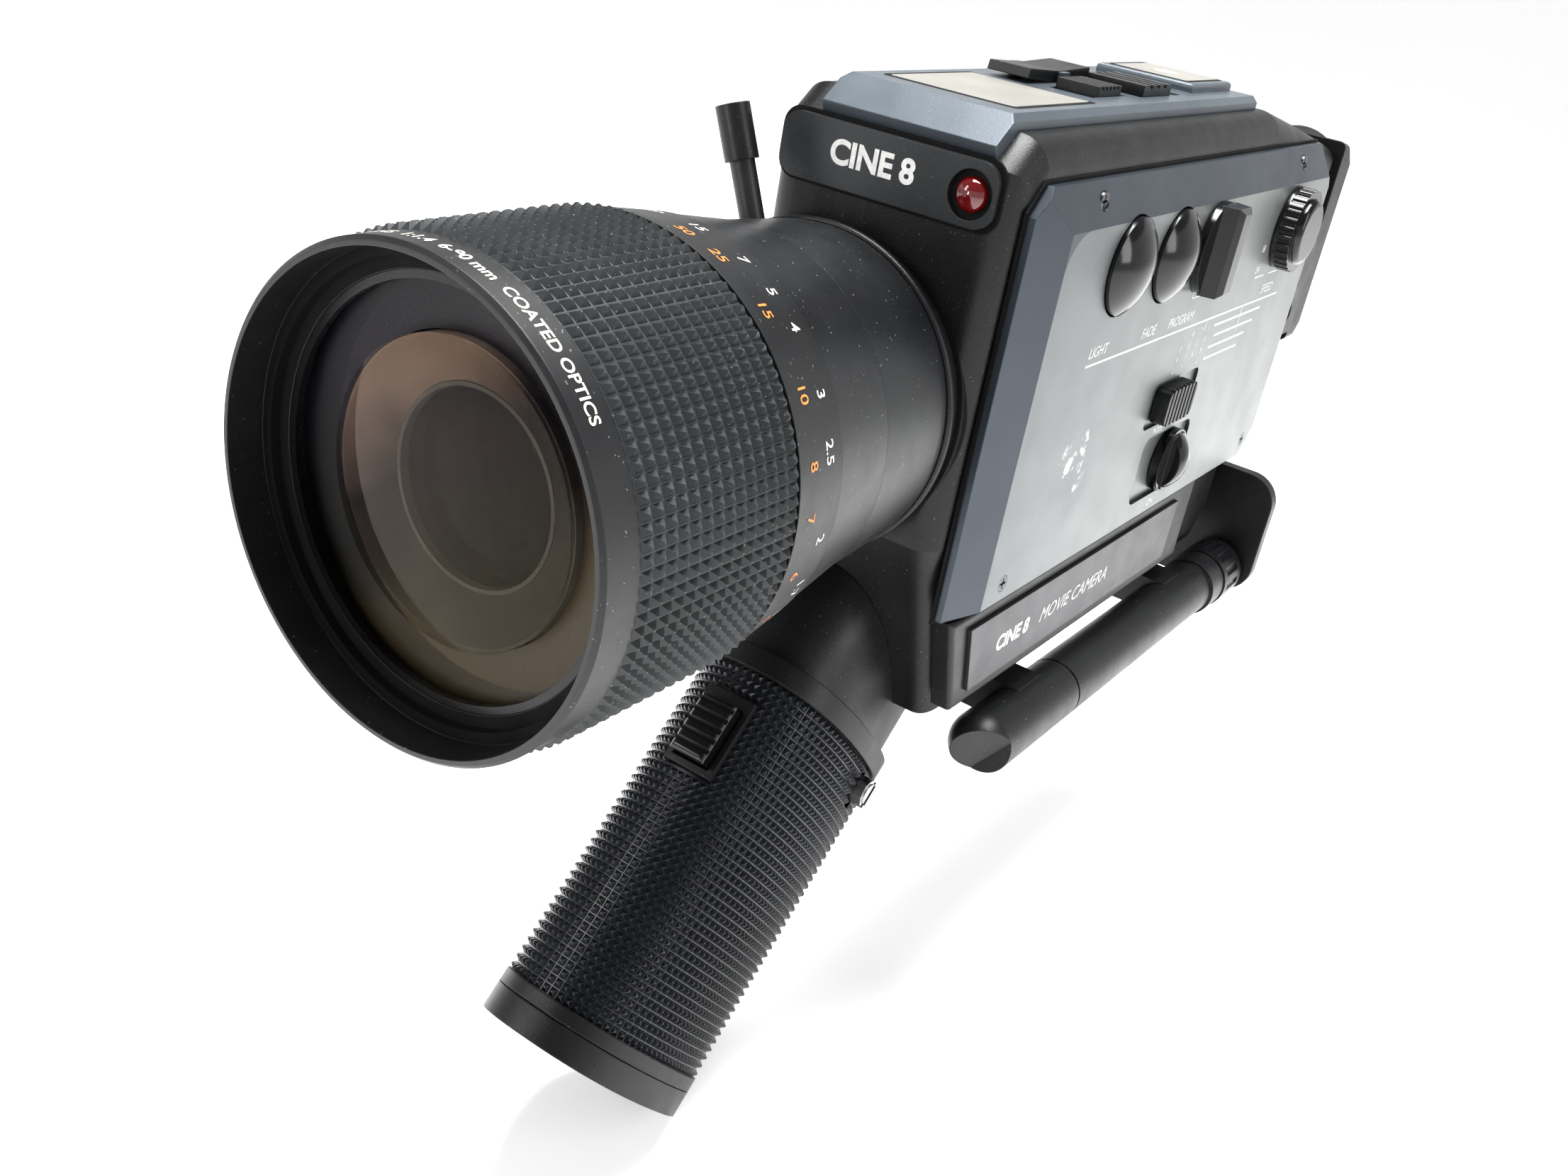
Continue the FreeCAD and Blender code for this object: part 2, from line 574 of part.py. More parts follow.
def film_door():
    y0, y1, z0, z1 = DOOR
    px, py = DOOR_PIN
    plate = rounded_yz(y0, y1, z0, z1, DOOR_X0, DOOR_X1, 7.0)
    rim = [e for e in plate.Edges if all(abs(v.X - DOOR_X0) < 1e-6 for v in e.Vertexes)]
    plate = plate.makeChamfer(2.4, rim)
    knuckle = rod(V(px, py, 26.4), Z_AXIS, 2.2, 79.2)
    web = block(DOOR_X0 + 0.6, -28.9, py, y0 + 1, 26.4, 105.6)
    door = fused(plate, knuckle, web).cut(rod(V(px, py, 0), Z_AXIS, DOOR_PIN_R + 0.05, 150))
    return door.cut(block(-35, -30.6, 74, 93, 56, 74))


def door_latch():
    latch = block(-33.2, -30.8, 75, 88, 56.4, 73.6)
    for step in range(4):
        middle = 77.8 + step * 2.5
        latch = latch.cut(block(-34, -32.6, middle - 0.5, middle + 0.5, 50, 80))
    return latch


def door_hinge_pin():
    px, py = DOOR_PIN
    ears = [block(px - 2, -HALF_WIDTH, py - 2, py + 2, z, z + 4) for z in (22, 106)]
    return fused(rod(V(px, py, 22), Z_AXIS, DOOR_PIN_R, 88), *ears)


# ---------------------------------------------------------------- pistol grip

def trigger_cut(depth_y, margin):
    return block(-TRIGGER_HALF - margin, TRIGGER_HALF + margin, -40, depth_y, TRIGGER_Z0 - margin, TRIGGER_Z1 + margin)


def bezel_cut():
    return block(-BEZEL_HALF, BEZEL_HALF, -40, -26.6, TRIGGER_Z0 - 1.8, TRIGGER_Z1 + 3)


def battery_bay():
    return oval_prism(BAY_A, BAY_B, GRIP_END - 1, BAY_TOP, BAY_Y)


def cap_hinge_centre():
    return GRIP_B + 1.2, GRIP_END - 0.5


def grip_core():
    core = fused(oval_prism(GRIP_A - 1.7, GRIP_B - 1.7, SLEEVE_END, 0),
                 oval_prism(GRIP_A, GRIP_B, GRIP_END, SLEEVE_END),
                 oval_prism(GRIP_A + 0.3, GRIP_B + 0.3, 0, COLLAR_TOP),
                 oval_prism(17.5, GRIP_B - 1.5, COLLAR_TOP, 75))
    core = core.cut(battery_bay())
    core = core.cut(trigger_cut(-22.5, 0.35)).cut(bezel_cut())
    y, z = cap_hinge_centre()
    ears = [fused(block(x, x + 2, y - 3.4, y + 1.2, z + 0.5, z + 3.3), rod(V(x, y, z), X_AXIS, 1.3, 2))
            for x in (-7, 5)]
    core = fused(core, *ears, rod(V(-6, y, z), X_AXIS, 0.7, 12))
    core = core.cut(rod(V(10, 9.0, -5.0), X_AXIS, 3.5, 20))
    body = prism_x(CASING_OUTLINE, -60, 60)
    return in_grip(core).cut(body)


def grip_sleeve():
    sleeve = oval_prism(GRIP_A, GRIP_B, SLEEVE_END, 0).cut(oval_prism(GRIP_A - 1.7, GRIP_B - 1.7, SLEEVE_END - 1, 1))
    sleeve = sleeve.cut(bezel_cut()).cut(rod(V(10, 9.0, -5.0), X_AXIS, 3.5, 20))
    return in_grip(sleeve)


def trigger_bezel():
    frame = block(-BEZEL_HALF, BEZEL_HALF, -31.6, -26.6, TRIGGER_Z0 - 1.8, TRIGGER_Z1 + 3)
    return in_grip(frame.cut(trigger_cut(0, 0.35)))


def trigger():
    body = block(-TRIGGER_HALF, TRIGGER_HALF, -35.5, -26.5, TRIGGER_Z0, TRIGGER_Z1)
    front_edges = [e for e in body.Edges if e.Vertexes[0].Y < -35 and e.Vertexes[-1].Y < -35]
    body = body.makeFillet(1.2, front_edges)
    for step in range(5):
        middle = TRIGGER_Z0 + 2.5 + step * 2.4
        body = body.cut(block(-10, 10, -40, -34.6, middle - 0.5, middle + 0.5))
    return in_grip(body)


def strap_stud():
    stud = fused(rod(V(16.5, 9.0, -5.0), X_AXIS, 3.4, 5.0), rod(V(21.0, 9.0, -5.0), X_AXIS, 2.6, 0.8))
    return in_grip(stud.cut(block(20.2, 23, 8.4, 9.6, -10, 0)))


def battery_cells():
    cells = []
    for x, y in CELL_SPOTS:
        for z in (-78.6, -78.6 + CELL_LENGTH + 0.2):
            can = rod(V(x, y, z), Z_AXIS, CELL_R, CELL_LENGTH - 1.2)
            cells.append(in_grip(fused(can, rod(V(x, y, z + CELL_LENGTH - 2), Z_AXIS, 2.7, 2.0))))
    return Part.makeCompound(cells)


def battery_contacts():
    return Part.makeCompound([in_grip(rod(V(x, y, 21.9), Z_AXIS, 4.2, 2.0)) for x, y in CELL_SPOTS])


def grip_cap():
    cap = oval_prism(GRIP_A, GRIP_B, CAP_END, GRIP_END - 0.2)
    y, z = cap_hinge_centre()
    for x in (-7, 5):
        cap = cap.cut(block(x - 0.3, x + 2.3, y - 5, y + 5, z - 5, z + 5))
    knuckle = fused(rod(V(-4.6, y, z), X_AXIS, 1.3, 9.2), block(-4.6, 4.6, y - 4, y, z - 1.3, z + 0.2))
    cap = fused(cap, knuckle).cut(rod(V(-8, y, z), X_AXIS, 0.75, 16))
    return in_grip(cap)


# ---------------------------------------------------------------- shoulder brace

def brace_tube():
    start = V(BRACE_X, BRACE_Y0, BRACE_Z)
    tube = rod(start, Y_AXIS, BRACE_R, BRACE_Y1 - BRACE_Y0)
    ball = Part.makeSphere(BRACE_R, start)
    facet = V(0.5135, -0.769, -0.387)
    facet.normalize()
    ball = ball.cut(rod(start + facet * 2.4, facet, 20, 20))
    flange = rod(V(BRACE_X, BRACE_Y1 - 9, BRACE_Z), Y_AXIS, BRACE_R + 0.8, 9)
    feet = [block(16, BRACE_X, y, y + 12, BRACE_Z - 1.5, 0) for y in (-40, 52)]
    tube = fused(tube, ball, flange, *feet)
    tube = tube.cut(tube_y(BRACE_X, BRACE_Z, BRACE_SEAM_Y, BRACE_SEAM_Y + 0.8, BRACE_R + 1, BRACE_R - 0.4))
    return tube.cut(rod(V(BRACE_X, BRACE_Y0 + 2, BRACE_Z), Y_AXIS, ROD_R + 0.08, 200))


def brace_rod():
    length = PAD_Y0 - BRACE_Y0 - 3.2
    shank = rod(V(BRACE_X, BRACE_Y0 + 3, BRACE_Z), Y_AXIS, ROD_R, length)
    spigot = rod(V(BRACE_X, PAD_Y0 - 1, BRACE_Z), Y_AXIS, SPIGOT_R, PAD_Y1 - PAD_Y0 + 2)
    head = rod(V(BRACE_X, PAD_Y1 + 0.2, BRACE_Z), Y_AXIS, 5.0, 1.6)
    return fused(shank, spigot, head)


def brace_collar():
    collar = tube_y(BRACE_X, BRACE_Z, COLLAR_Y0, COLLAR_Y1, 8.9, ROD_R + 0.08)
    flutes = 12
    for step in range(flutes):
        turn = 2 * math.pi * step / flutes
        at = V(BRACE_X + 9.7 * math.cos(turn), COLLAR_Y0 + 2.5, BRACE_Z + 9.7 * math.sin(turn))
        collar = collar.cut(rod(at, Y_AXIS, 1.5, 9))
    return collar


def shoulder_pad():
    pad = block(-20, 44.5, PAD_Y0, PAD_Y1, -15.0, 23.0)
    corners = [e for e in pad.Edges if abs(e.tangentAt(e.FirstParameter).y) > 0.9]
    pad = pad.makeFillet(9.0, corners)
    return pad.cut(rod(V(BRACE_X, 90, BRACE_Z), Y_AXIS, SPIGOT_R + SHAFT_GAP, 30))


def save(name, shape):
    shape.exportStep(os.path.join("parts", name + ".step"))


def main():
    os.makedirs("parts", exist_ok=True)
    door_half, panel_half = half_shells()
    nodes = {
        "door_side_shell": door_half, "control_side_shell": panel_half, "top_cover": top_cover(),
        "rear_frame": rear_frame(), "control_panel": control_panel(), "side_name_plate": side_name_plate(),
        "front_name_plate": front_name_plate(), "led_lamp": led_lamp(), "socket_block": socket_block(),
        "casing_screws": casing_screws(), "tripod_bush": tripod_bush(),
        "lens_barrel": lens_barrel(), "index_ring": index_ring(), "focus_barrel": focus_barrel(),
        "focus_rubber": focus_rubber(), "front_retaining_ring": front_retaining_ring(),
        "front_lens_group": front_lens_group(), "zoom_ring": zoom_ring(), "zoom_lever": zoom_lever(),
        "zoom_lever_sleeve": zoom_lever_sleeve(), "zoom_lens_group": zoom_lens_group(),
        "iris_diaphragm": iris_diaphragm(), "rear_lens_group": rear_lens_group(),
        "film_chamber": film_chamber(), "takeup_spindle": takeup_spindle(), "shutter_disc": shutter_disc(),
        "shutter_gear": shutter_gear(), "motor_pinion": motor_pinion(), "drive_motor": drive_motor(),
        "beam_splitter": beam_splitter(), "viewfinder_tube": viewfinder_tube(),
        "eyepiece_barrel": eyepiece_barrel(), "eyepiece_lens": eyepiece_lens(), "diopter_ring": diopter_ring(),
        "eyecup": eyecup(), "circuit_board": circuit_board(),
        "film_door": film_door(), "door_latch": door_latch(), "door_hinge_pin": door_hinge_pin(),
        "program_lever": program_lever(), "serrated_dial": serrated_dial(), "slide_switch": slide_switch(),
        "rotary_switch": rotary_switch(), "zoom_rocker": zoom_rocker(),
        "top_slide_key": ribbed_key(2.0, 12.0, -28, -16, 131.2, 133.6, 5),
        "top_slide_switch": ribbed_key(0.0, 14.0, -8, 8, 131.2, 133.9, 3),
        "grip_core": grip_core(), "grip_sleeve": grip_sleeve(), "trigger_bezel": trigger_bezel(),
        "trigger": trigger(), "strap_stud": strap_stud(), "battery_cells": battery_cells(),
        "battery_contacts": battery_contacts(), "grip_cap": grip_cap(),
        "brace_tube": brace_tube(), "brace_rod": brace_rod(), "brace_collar": brace_collar(),
        "shoulder_pad": shoulder_pad(),
    }
    for name, spot in DOME_SPOTS.items():
        nodes[name] = dome_button(spot)
    for name, shape in nodes.items():
        if not shape.isValid() or not shape.Solids:
            print("CHECK", name, shape.isValid(), len(shape.Solids))
        save(name, shape)
    print(len(nodes), "nodes")


main()
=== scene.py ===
"""Looks of the cine camera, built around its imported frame. Metres; -Y is the way the lens points."""
import math
import bpy
from mathutils import Matrix, Vector


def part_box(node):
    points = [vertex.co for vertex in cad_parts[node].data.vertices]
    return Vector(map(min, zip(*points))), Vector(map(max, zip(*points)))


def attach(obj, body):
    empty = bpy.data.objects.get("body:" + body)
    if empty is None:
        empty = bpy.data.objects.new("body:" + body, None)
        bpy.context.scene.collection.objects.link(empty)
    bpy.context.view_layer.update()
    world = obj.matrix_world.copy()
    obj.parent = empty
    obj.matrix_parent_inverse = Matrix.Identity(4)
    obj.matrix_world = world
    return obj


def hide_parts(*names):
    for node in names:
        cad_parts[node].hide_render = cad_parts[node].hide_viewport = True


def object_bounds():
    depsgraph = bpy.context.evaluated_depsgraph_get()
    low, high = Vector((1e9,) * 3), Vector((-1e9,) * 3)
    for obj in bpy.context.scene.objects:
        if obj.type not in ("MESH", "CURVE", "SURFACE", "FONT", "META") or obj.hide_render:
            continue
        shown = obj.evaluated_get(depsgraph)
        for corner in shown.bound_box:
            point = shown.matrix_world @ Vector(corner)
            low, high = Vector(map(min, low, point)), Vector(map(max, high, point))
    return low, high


MM = 0.001

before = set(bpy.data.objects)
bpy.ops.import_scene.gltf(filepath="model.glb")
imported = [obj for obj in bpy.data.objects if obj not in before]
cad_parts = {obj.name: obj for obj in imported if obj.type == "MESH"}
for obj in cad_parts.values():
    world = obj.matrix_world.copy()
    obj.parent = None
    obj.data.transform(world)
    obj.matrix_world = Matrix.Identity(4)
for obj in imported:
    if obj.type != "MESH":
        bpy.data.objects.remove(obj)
cad_low, cad_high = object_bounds()


# ---------------------------------------------------------------- places read from the frame

def low(node):
    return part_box(node)[0]


def high(node):
    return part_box(node)[1]


def middle(node):
    return (Vector(low(node)) + Vector(high(node))) / 2


LENS = middle("front_retaining_ring")
LENS_X, LENS_Z = LENS.x, LENS.z
PANEL_FACE = high("control_panel")[0]
PLATE_FACE = high("side_name_plate")[0]
NAME_FACE = low("front_name_plate")[1]
GRIP_SLANT = math.radians(-45.5)
GRIP_AT = Vector((-1.0, -83.2, -8.0)) * MM
GLASS_IOR = 1.5
GLASS_ROUGHNESS = 0.012


# ---------------------------------------------------------------- materials

class Nodes:
    """Small helper for building a material's node tree."""

    def __init__(self, name):
        self.mat = bpy.data.materials.new(name)
        self.mat.use_nodes = True
        self.tree = self.mat.node_tree
        self.shader = self.tree.nodes["Principled BSDF"]
        self.out = self.tree.nodes["Material Output"]
        self.coord = self.add("ShaderNodeTexCoord").outputs["Object"]

    def add(self, kind, **values):
        node = self.tree.nodes.new(kind)
        for key, value in values.items():
            setattr(node, key, value)
        return node

    def link(self, a, b):
        self.tree.links.new(a, b)

    def put(self, socket, value):
        self.shader.inputs[socket].default_value = value

    def noise(self, scale, detail=3.0, rough=0.5, vector=None):
        node = self.add("ShaderNodeTexNoise")
        node.inputs["Scale"].default_value = scale
        node.inputs["Detail"].default_value = detail
        node.inputs["Roughness"].default_value = rough
        self.link(vector or self.coord, node.inputs["Vector"])
        return node.outputs["Fac"]

    def spread(self, value, a, b, c=0.0, d=1.0):
        node = self.add("ShaderNodeMapRange")
        for socket, number in zip(("From Min", "From Max", "To Min", "To Max"), (a, b, c, d)):
            node.inputs[socket].default_value = number
        self.link(value, node.inputs["Value"])
        return node.outputs["Result"]

    def math(self, operation, a, b=None, c=None):
        node = self.add("ShaderNodeMath", operation=operation)
        for index, value in enumerate((a, b, c)):
            if value is None:
                continue
            if isinstance(value, (int, float)):
                node.inputs[index].default_value = value
            else:
                self.link(value, node.inputs[index])
        return node.outputs[0]

    def mix(self, share, a, b):
        node = self.add("ShaderNodeMix", data_type="RGBA")
        if isinstance(share, (int, float)):
            node.inputs[0].default_value = share
        else:
            self.link(share, node.inputs[0])
        for index, value in ((6, a), (7, b)):
            if isinstance(value, tuple):
                node.inputs[index].default_value = (*value[:3], 1.0)
            else:
                self.link(value, node.inputs[index])
        return node.outputs[2]

    def axes(self):
        node = self.add("ShaderNodeSeparateXYZ")
        self.link(self.coord, node.inputs[0])
        return node.outputs

    def bump(self, height, distance, strength=1.0, edge=0.0):
        node = self.add("ShaderNodeBump")
        node.inputs["Strength"].default_value = strength
        node.inputs["Distance"].default_value = distance
        self.link(height, node.inputs["Height"])
        if edge:
            bevel = self.add("ShaderNodeBevel", samples=4)
            bevel.inputs["Radius"].default_value = edge
            self.link(bevel.outputs[0], node.inputs["Normal"])
        self.link(node.outputs[0], self.shader.inputs["Normal"])


def coated(name, color, rough, grain, grain_height, edge=0.0, metallic=0.0, specular=0.5, vary=0.25, dust=0.0,
           coat=0.0):
    """Paint, rubber or moulded plastic: mottled roughness, fine grain, softened edges and faint dust."""
    n = Nodes(name)
    cloud = n.noise(35.0, 4.0)
    fine = n.noise(grain, 2.0)
    darker = tuple(c * (1 - vary) for c in color)
    lighter = tuple(min(1.0, c * (1 + vary)) for c in color)
    shade = n.mix(n.spread(cloud, 0.3, 0.7), darker, lighter)
    if dust:
        specks = n.spread(n.noise(1900.0, 1.0), 0.735, 0.76)
        shade = n.mix(n.math("MULTIPLY", specks, dust), shade, (0.75, 0.75, 0.72))
    n.link(shade, n.shader.inputs["Base Color"])
    roughness = n.spread(n.noise(120.0, 4.0), 0.3, 0.7, rough * 0.88, min(1.0, rough * 1.12))
    n.link(roughness, n.shader.inputs["Roughness"])
    n.put("Metallic", metallic)
    n.put("Specular IOR Level", specular)
    n.put("Coat Weight", coat)
    n.put("Coat Roughness", 0.08)
    n.bump(fine, grain_height, 1.0, edge)
    return n.mat


def panel_paint():
    """Satin silver-grey face, with painted light making it lighter towards the rear, and slate bevels round it."""
    n = Nodes("panel_paint")
    geometry = n.add("ShaderNodeNewGeometry")
    normal = n.add("ShaderNodeSeparateXYZ")
    n.link(geometry.outputs["Normal"], normal.inputs[0])
    x, y, z = n.axes()
    face = n.math("GREATER_THAN", normal.outputs[0], 0.985)
    high_enough = n.math("GREATER_THAN", x, PANEL_FACE - 1.3 * MM)
    corner = round_corner(n, y, z, -63.0, 102.8, 9.0)
    is_face = n.math("MULTIPLY", n.math("MULTIPLY", face, high_enough), corner)
    cloud = n.spread(n.noise(26.0, 3.0), 0.35, 0.65)
    # painted light: the silver face goes from darker at the front to lighter at the rear, standing in for how the
    # light falls on it
    painted_falloff = n.spread(y, -70 * MM, 30 * MM)
    silver = n.mix(painted_falloff, n.mix(cloud, (0.125, 0.136, 0.141), (0.140, 0.150, 0.155)),
                   n.mix(cloud, (0.205, 0.219, 0.213), (0.228, 0.241, 0.233)))
    slate = n.mix(cloud, (0.040, 0.050, 0.062), (0.048, 0.059, 0.072))
    shade = n.mix(is_face, slate, silver)
    # a faded smear where an old sticker was rubbed off
    rubbed = n.spread(n.noise(160.0, 6.0, 0.65), 0.52, 0.60)
    smear = n.math("MULTIPLY", rubbed, patch(n, y, z, -41.0, 57.0, 9.0, 9.5))
    shade = n.mix(n.math("MULTIPLY", smear, n.math("MULTIPLY", is_face, 0.75)), shade, (0.84, 0.85, 0.85))
    n.link(shade, n.shader.inputs["Base Color"])
    n.link(n.spread(n.noise(90.0, 4.0), 0.3, 0.7, 0.30, 0.38), n.shader.inputs["Roughness"])
    n.put("Metallic", 0.45)
    n.bump(n.noise(2200.0, 2.0), 0.012 * MM, 1.0, 0.3 * MM)
    return n.mat


def round_corner(n, y, z, y0, z0, radius):
    """0 outside the rounded upper front corner of the side face, 1 everywhere else; millimetres."""
    dy = n.math("MAXIMUM", n.math("SUBTRACT", y0 * MM, y), 0.0)
    dz = n.math("MAXIMUM", n.math("SUBTRACT", z, z0 * MM), 0.0)
    far = n.math("SQRT", n.math("ADD", n.math("POWER", dy, 2.0), n.math("POWER", dz, 2.0)))
    return n.math("LESS_THAN", far, radius * MM)


def patch(n, y, z, y0, z0, half_y, half_z):
    """1 inside a soft oval on the side face, 0 outside; millimetres."""
    dy = n.math("MULTIPLY", n.math("SUBTRACT", y, y0 * MM), 1 / (half_y * MM))
    dz = n.math("MULTIPLY", n.math("SUBTRACT", z, z0 * MM), 1 / (half_z * MM))
    far = n.math("ADD", n.math("POWER", dy, 2.0), n.math("POWER", dz, 2.0))
    return n.spread(far, 0.6, 1.0, 1.0, 0.0)


def turned_black(name, rough=0.42, color=(0.0075, 0.008, 0.009)):
    """Satin black anodised ring with fine turning marks across its axis."""
    n = Nodes(name)
    x, y, z = n.axes()
    stretch = n.add("ShaderNodeCombineXYZ")
    n.link(n.math("MULTIPLY", y, 1.0), stretch.inputs[1])
    lines = n.noise(9000.0, 2.0, 0.5, stretch.outputs[0])
    cloud = n.spread(n.noise(40.0, 4.0), 0.3, 0.7)
    specks = n.spread(n.noise(1500.0, 1.0), 0.745, 0.77)
    shade = n.mix(cloud, tuple(c * 0.8 for c in color), tuple(c * 1.25 for c in color))
    shade = n.mix(n.math("MULTIPLY", specks, 0.25), shade, (0.6, 0.6, 0.58))
    n.link(shade, n.shader.inputs["Base Color"])
    n.link(n.spread(n.noise(150.0, 4.0), 0.3, 0.7, rough * 0.9, rough * 1.1), n.shader.inputs["Roughness"])
    n.put("Specular IOR Level", 0.55)
    n.bump(lines, 0.006 * MM, 1.0, 0.3 * MM)
    return n.mat


def lens_height(n, x, z, lean):
    """Height above the lens axis, leaning towards -X."""
    above = n.math("SUBTRACT", z, LENS_Z)
    return n.math("SUBTRACT", above, n.math("MULTIPLY", n.math("SUBTRACT", x, LENS_X), lean))


def glass(name, tint, painted_top_reflection, painted_low_reflection, strength):
    """Coated glass: see-through body under a reflection painted to drift in colour from top to bottom."""
    n = Nodes(name)
    x, y, z = n.axes()
    see = n.add("ShaderNodeBsdfTransparent")
    see.inputs["Color"].default_value = (*tint, 1.0)
    gloss = n.add("ShaderNodeBsdfGlossy")
    gloss.inputs["Roughness"].default_value = GLASS_ROUGHNESS
    # painted reflection: the reflection's colour is set by height across the glass, leaning towards -X, with a
    # noisy edge
    height = lens_height(n, x, z, 0.5)
    painted_reflection_height = n.math("ADD", height, n.math("MULTIPLY", n.math("SUBTRACT", n.noise(45.0, 2.0), 0.5), 14 * MM))
    color = n.mix(n.spread(painted_reflection_height, -20 * MM, 14 * MM), painted_low_reflection, painted_top_reflection)
    n.link(color, gloss.inputs["Color"])
    fresnel = n.add("ShaderNodeFresnel")
    fresnel.inputs["IOR"].default_value = GLASS_IOR
    specks = n.math("MULTIPLY", n.spread(n.noise(2600.0, 1.0), 0.74, 0.76), 0.10)
    share = n.math("MINIMUM", n.math("ADD", n.math("MULTIPLY", fresnel.outputs[0], strength), specks), 0.92)
    inner_side = n.add("ShaderNodeNewGeometry").outputs["Backfacing"]
    share = n.math("MULTIPLY", share, n.math("SUBTRACT", 1.0, inner_side))
    blend = n.add("ShaderNodeMixShader")
    n.link(share, blend.inputs[0])
    n.link(see.outputs[0], blend.inputs[1])
    n.link(gloss.outputs[0], blend.inputs[2])
    n.link(blend.outputs[0], n.out.inputs["Surface"])
    return n.mat


def lamp_red():
    """Deep red lamp lens under a clear coat."""
    n = Nodes("lamp_red")
    swirl = n.spread(n.noise(220.0, 2.0), 0.3, 0.7)
    n.link(n.mix(swirl, (0.075, 0.001, 0.002), (0.16, 0.002, 0.004)), n.shader.inputs["Base Color"])
    n.put("Roughness", 0.06)
    n.put("Coat Weight", 1.0)
    n.put("Coat Roughness", 0.02)
    n.bump(n.noise(500.0, 1.0), 0.01 * MM)
    return n.mat


def painted_reflection_wall(name, bottom, between, top, rough):
    """Black cell wall under painted reflections: painted reflection colours at the bottom and the top, its own
    black between, drifting with height.
    """
    n = Nodes(name)
    x, y, z = n.axes()
    cloud = n.math("MULTIPLY", n.math("SUBTRACT", n.noise(70.0, 3.0), 0.5), 16 * MM)
    height = n.math("ADD", lens_height(n, x, z, 0.7), cloud)
    # painted reflection: the bottom and top colours stand in for reflections; the middle colour is the wall's own
    # black
    shade = n.mix(n.spread(height, -18 * MM, -4 * MM), bottom, between)
    shade = n.mix(n.spread(height, 8 * MM, 24 * MM), shade, top)
    n.link(shade, n.shader.inputs["Base Color"])
    n.put("Roughness", rough)
    n.put("Specular IOR Level", 0.3)
    return n.mat


def ink(name, color, rough=0.5):
    """Printed lettering, a little uneven."""
    n = Nodes(name)
    wear = n.spread(n.noise(900.0, 4.0, 0.6), 0.3, 0.7)
    n.link(n.mix(wear, tuple(c * 0.78 for c in color), color), n.shader.inputs["Base Color"])
    n.put("Roughness", rough)
    n.bump(n.noise(3000.0, 2.0), 0.004 * MM)
    return n.mat


def metal(name, color, rough, scratch=600.0):
    """Bare metal with fine scratches."""
    n = Nodes(name)
    n.link(n.mix(n.spread(n.noise(60.0, 4.0), 0.3, 0.7), tuple(c * 0.85 for c in color), color),
           n.shader.inputs["Base Color"])
    n.put("Metallic", 1.0)
    roughness = n.spread(n.noise(scratch, 3.0), 0.3, 0.7, rough * 0.7, rough * 1.3)
    n.link(roughness, n.shader.inputs["Roughness"])
    n.bump(n.noise(scratch * 2, 2.0), 0.004 * MM, 1.0, 0.2 * MM)
    return n.mat


def board():
    """Green circuit board with lighter tracks."""
    n = Nodes("board_green")
    x, y, z = n.axes()
    tracks = n.math("GREATER_THAN", n.math("SINE", n.math("MULTIPLY", n.math("ADD", y, z), 2200.0)), 0.6)
    n.link(n.mix(tracks, (0.01, 0.09, 0.035), (0.03, 0.20, 0.07)), n.shader.inputs["Base Color"])
    n.put("Roughness", 0.35)
    n.bump(n.noise(1500.0), 0.01 * MM)
    return n.mat


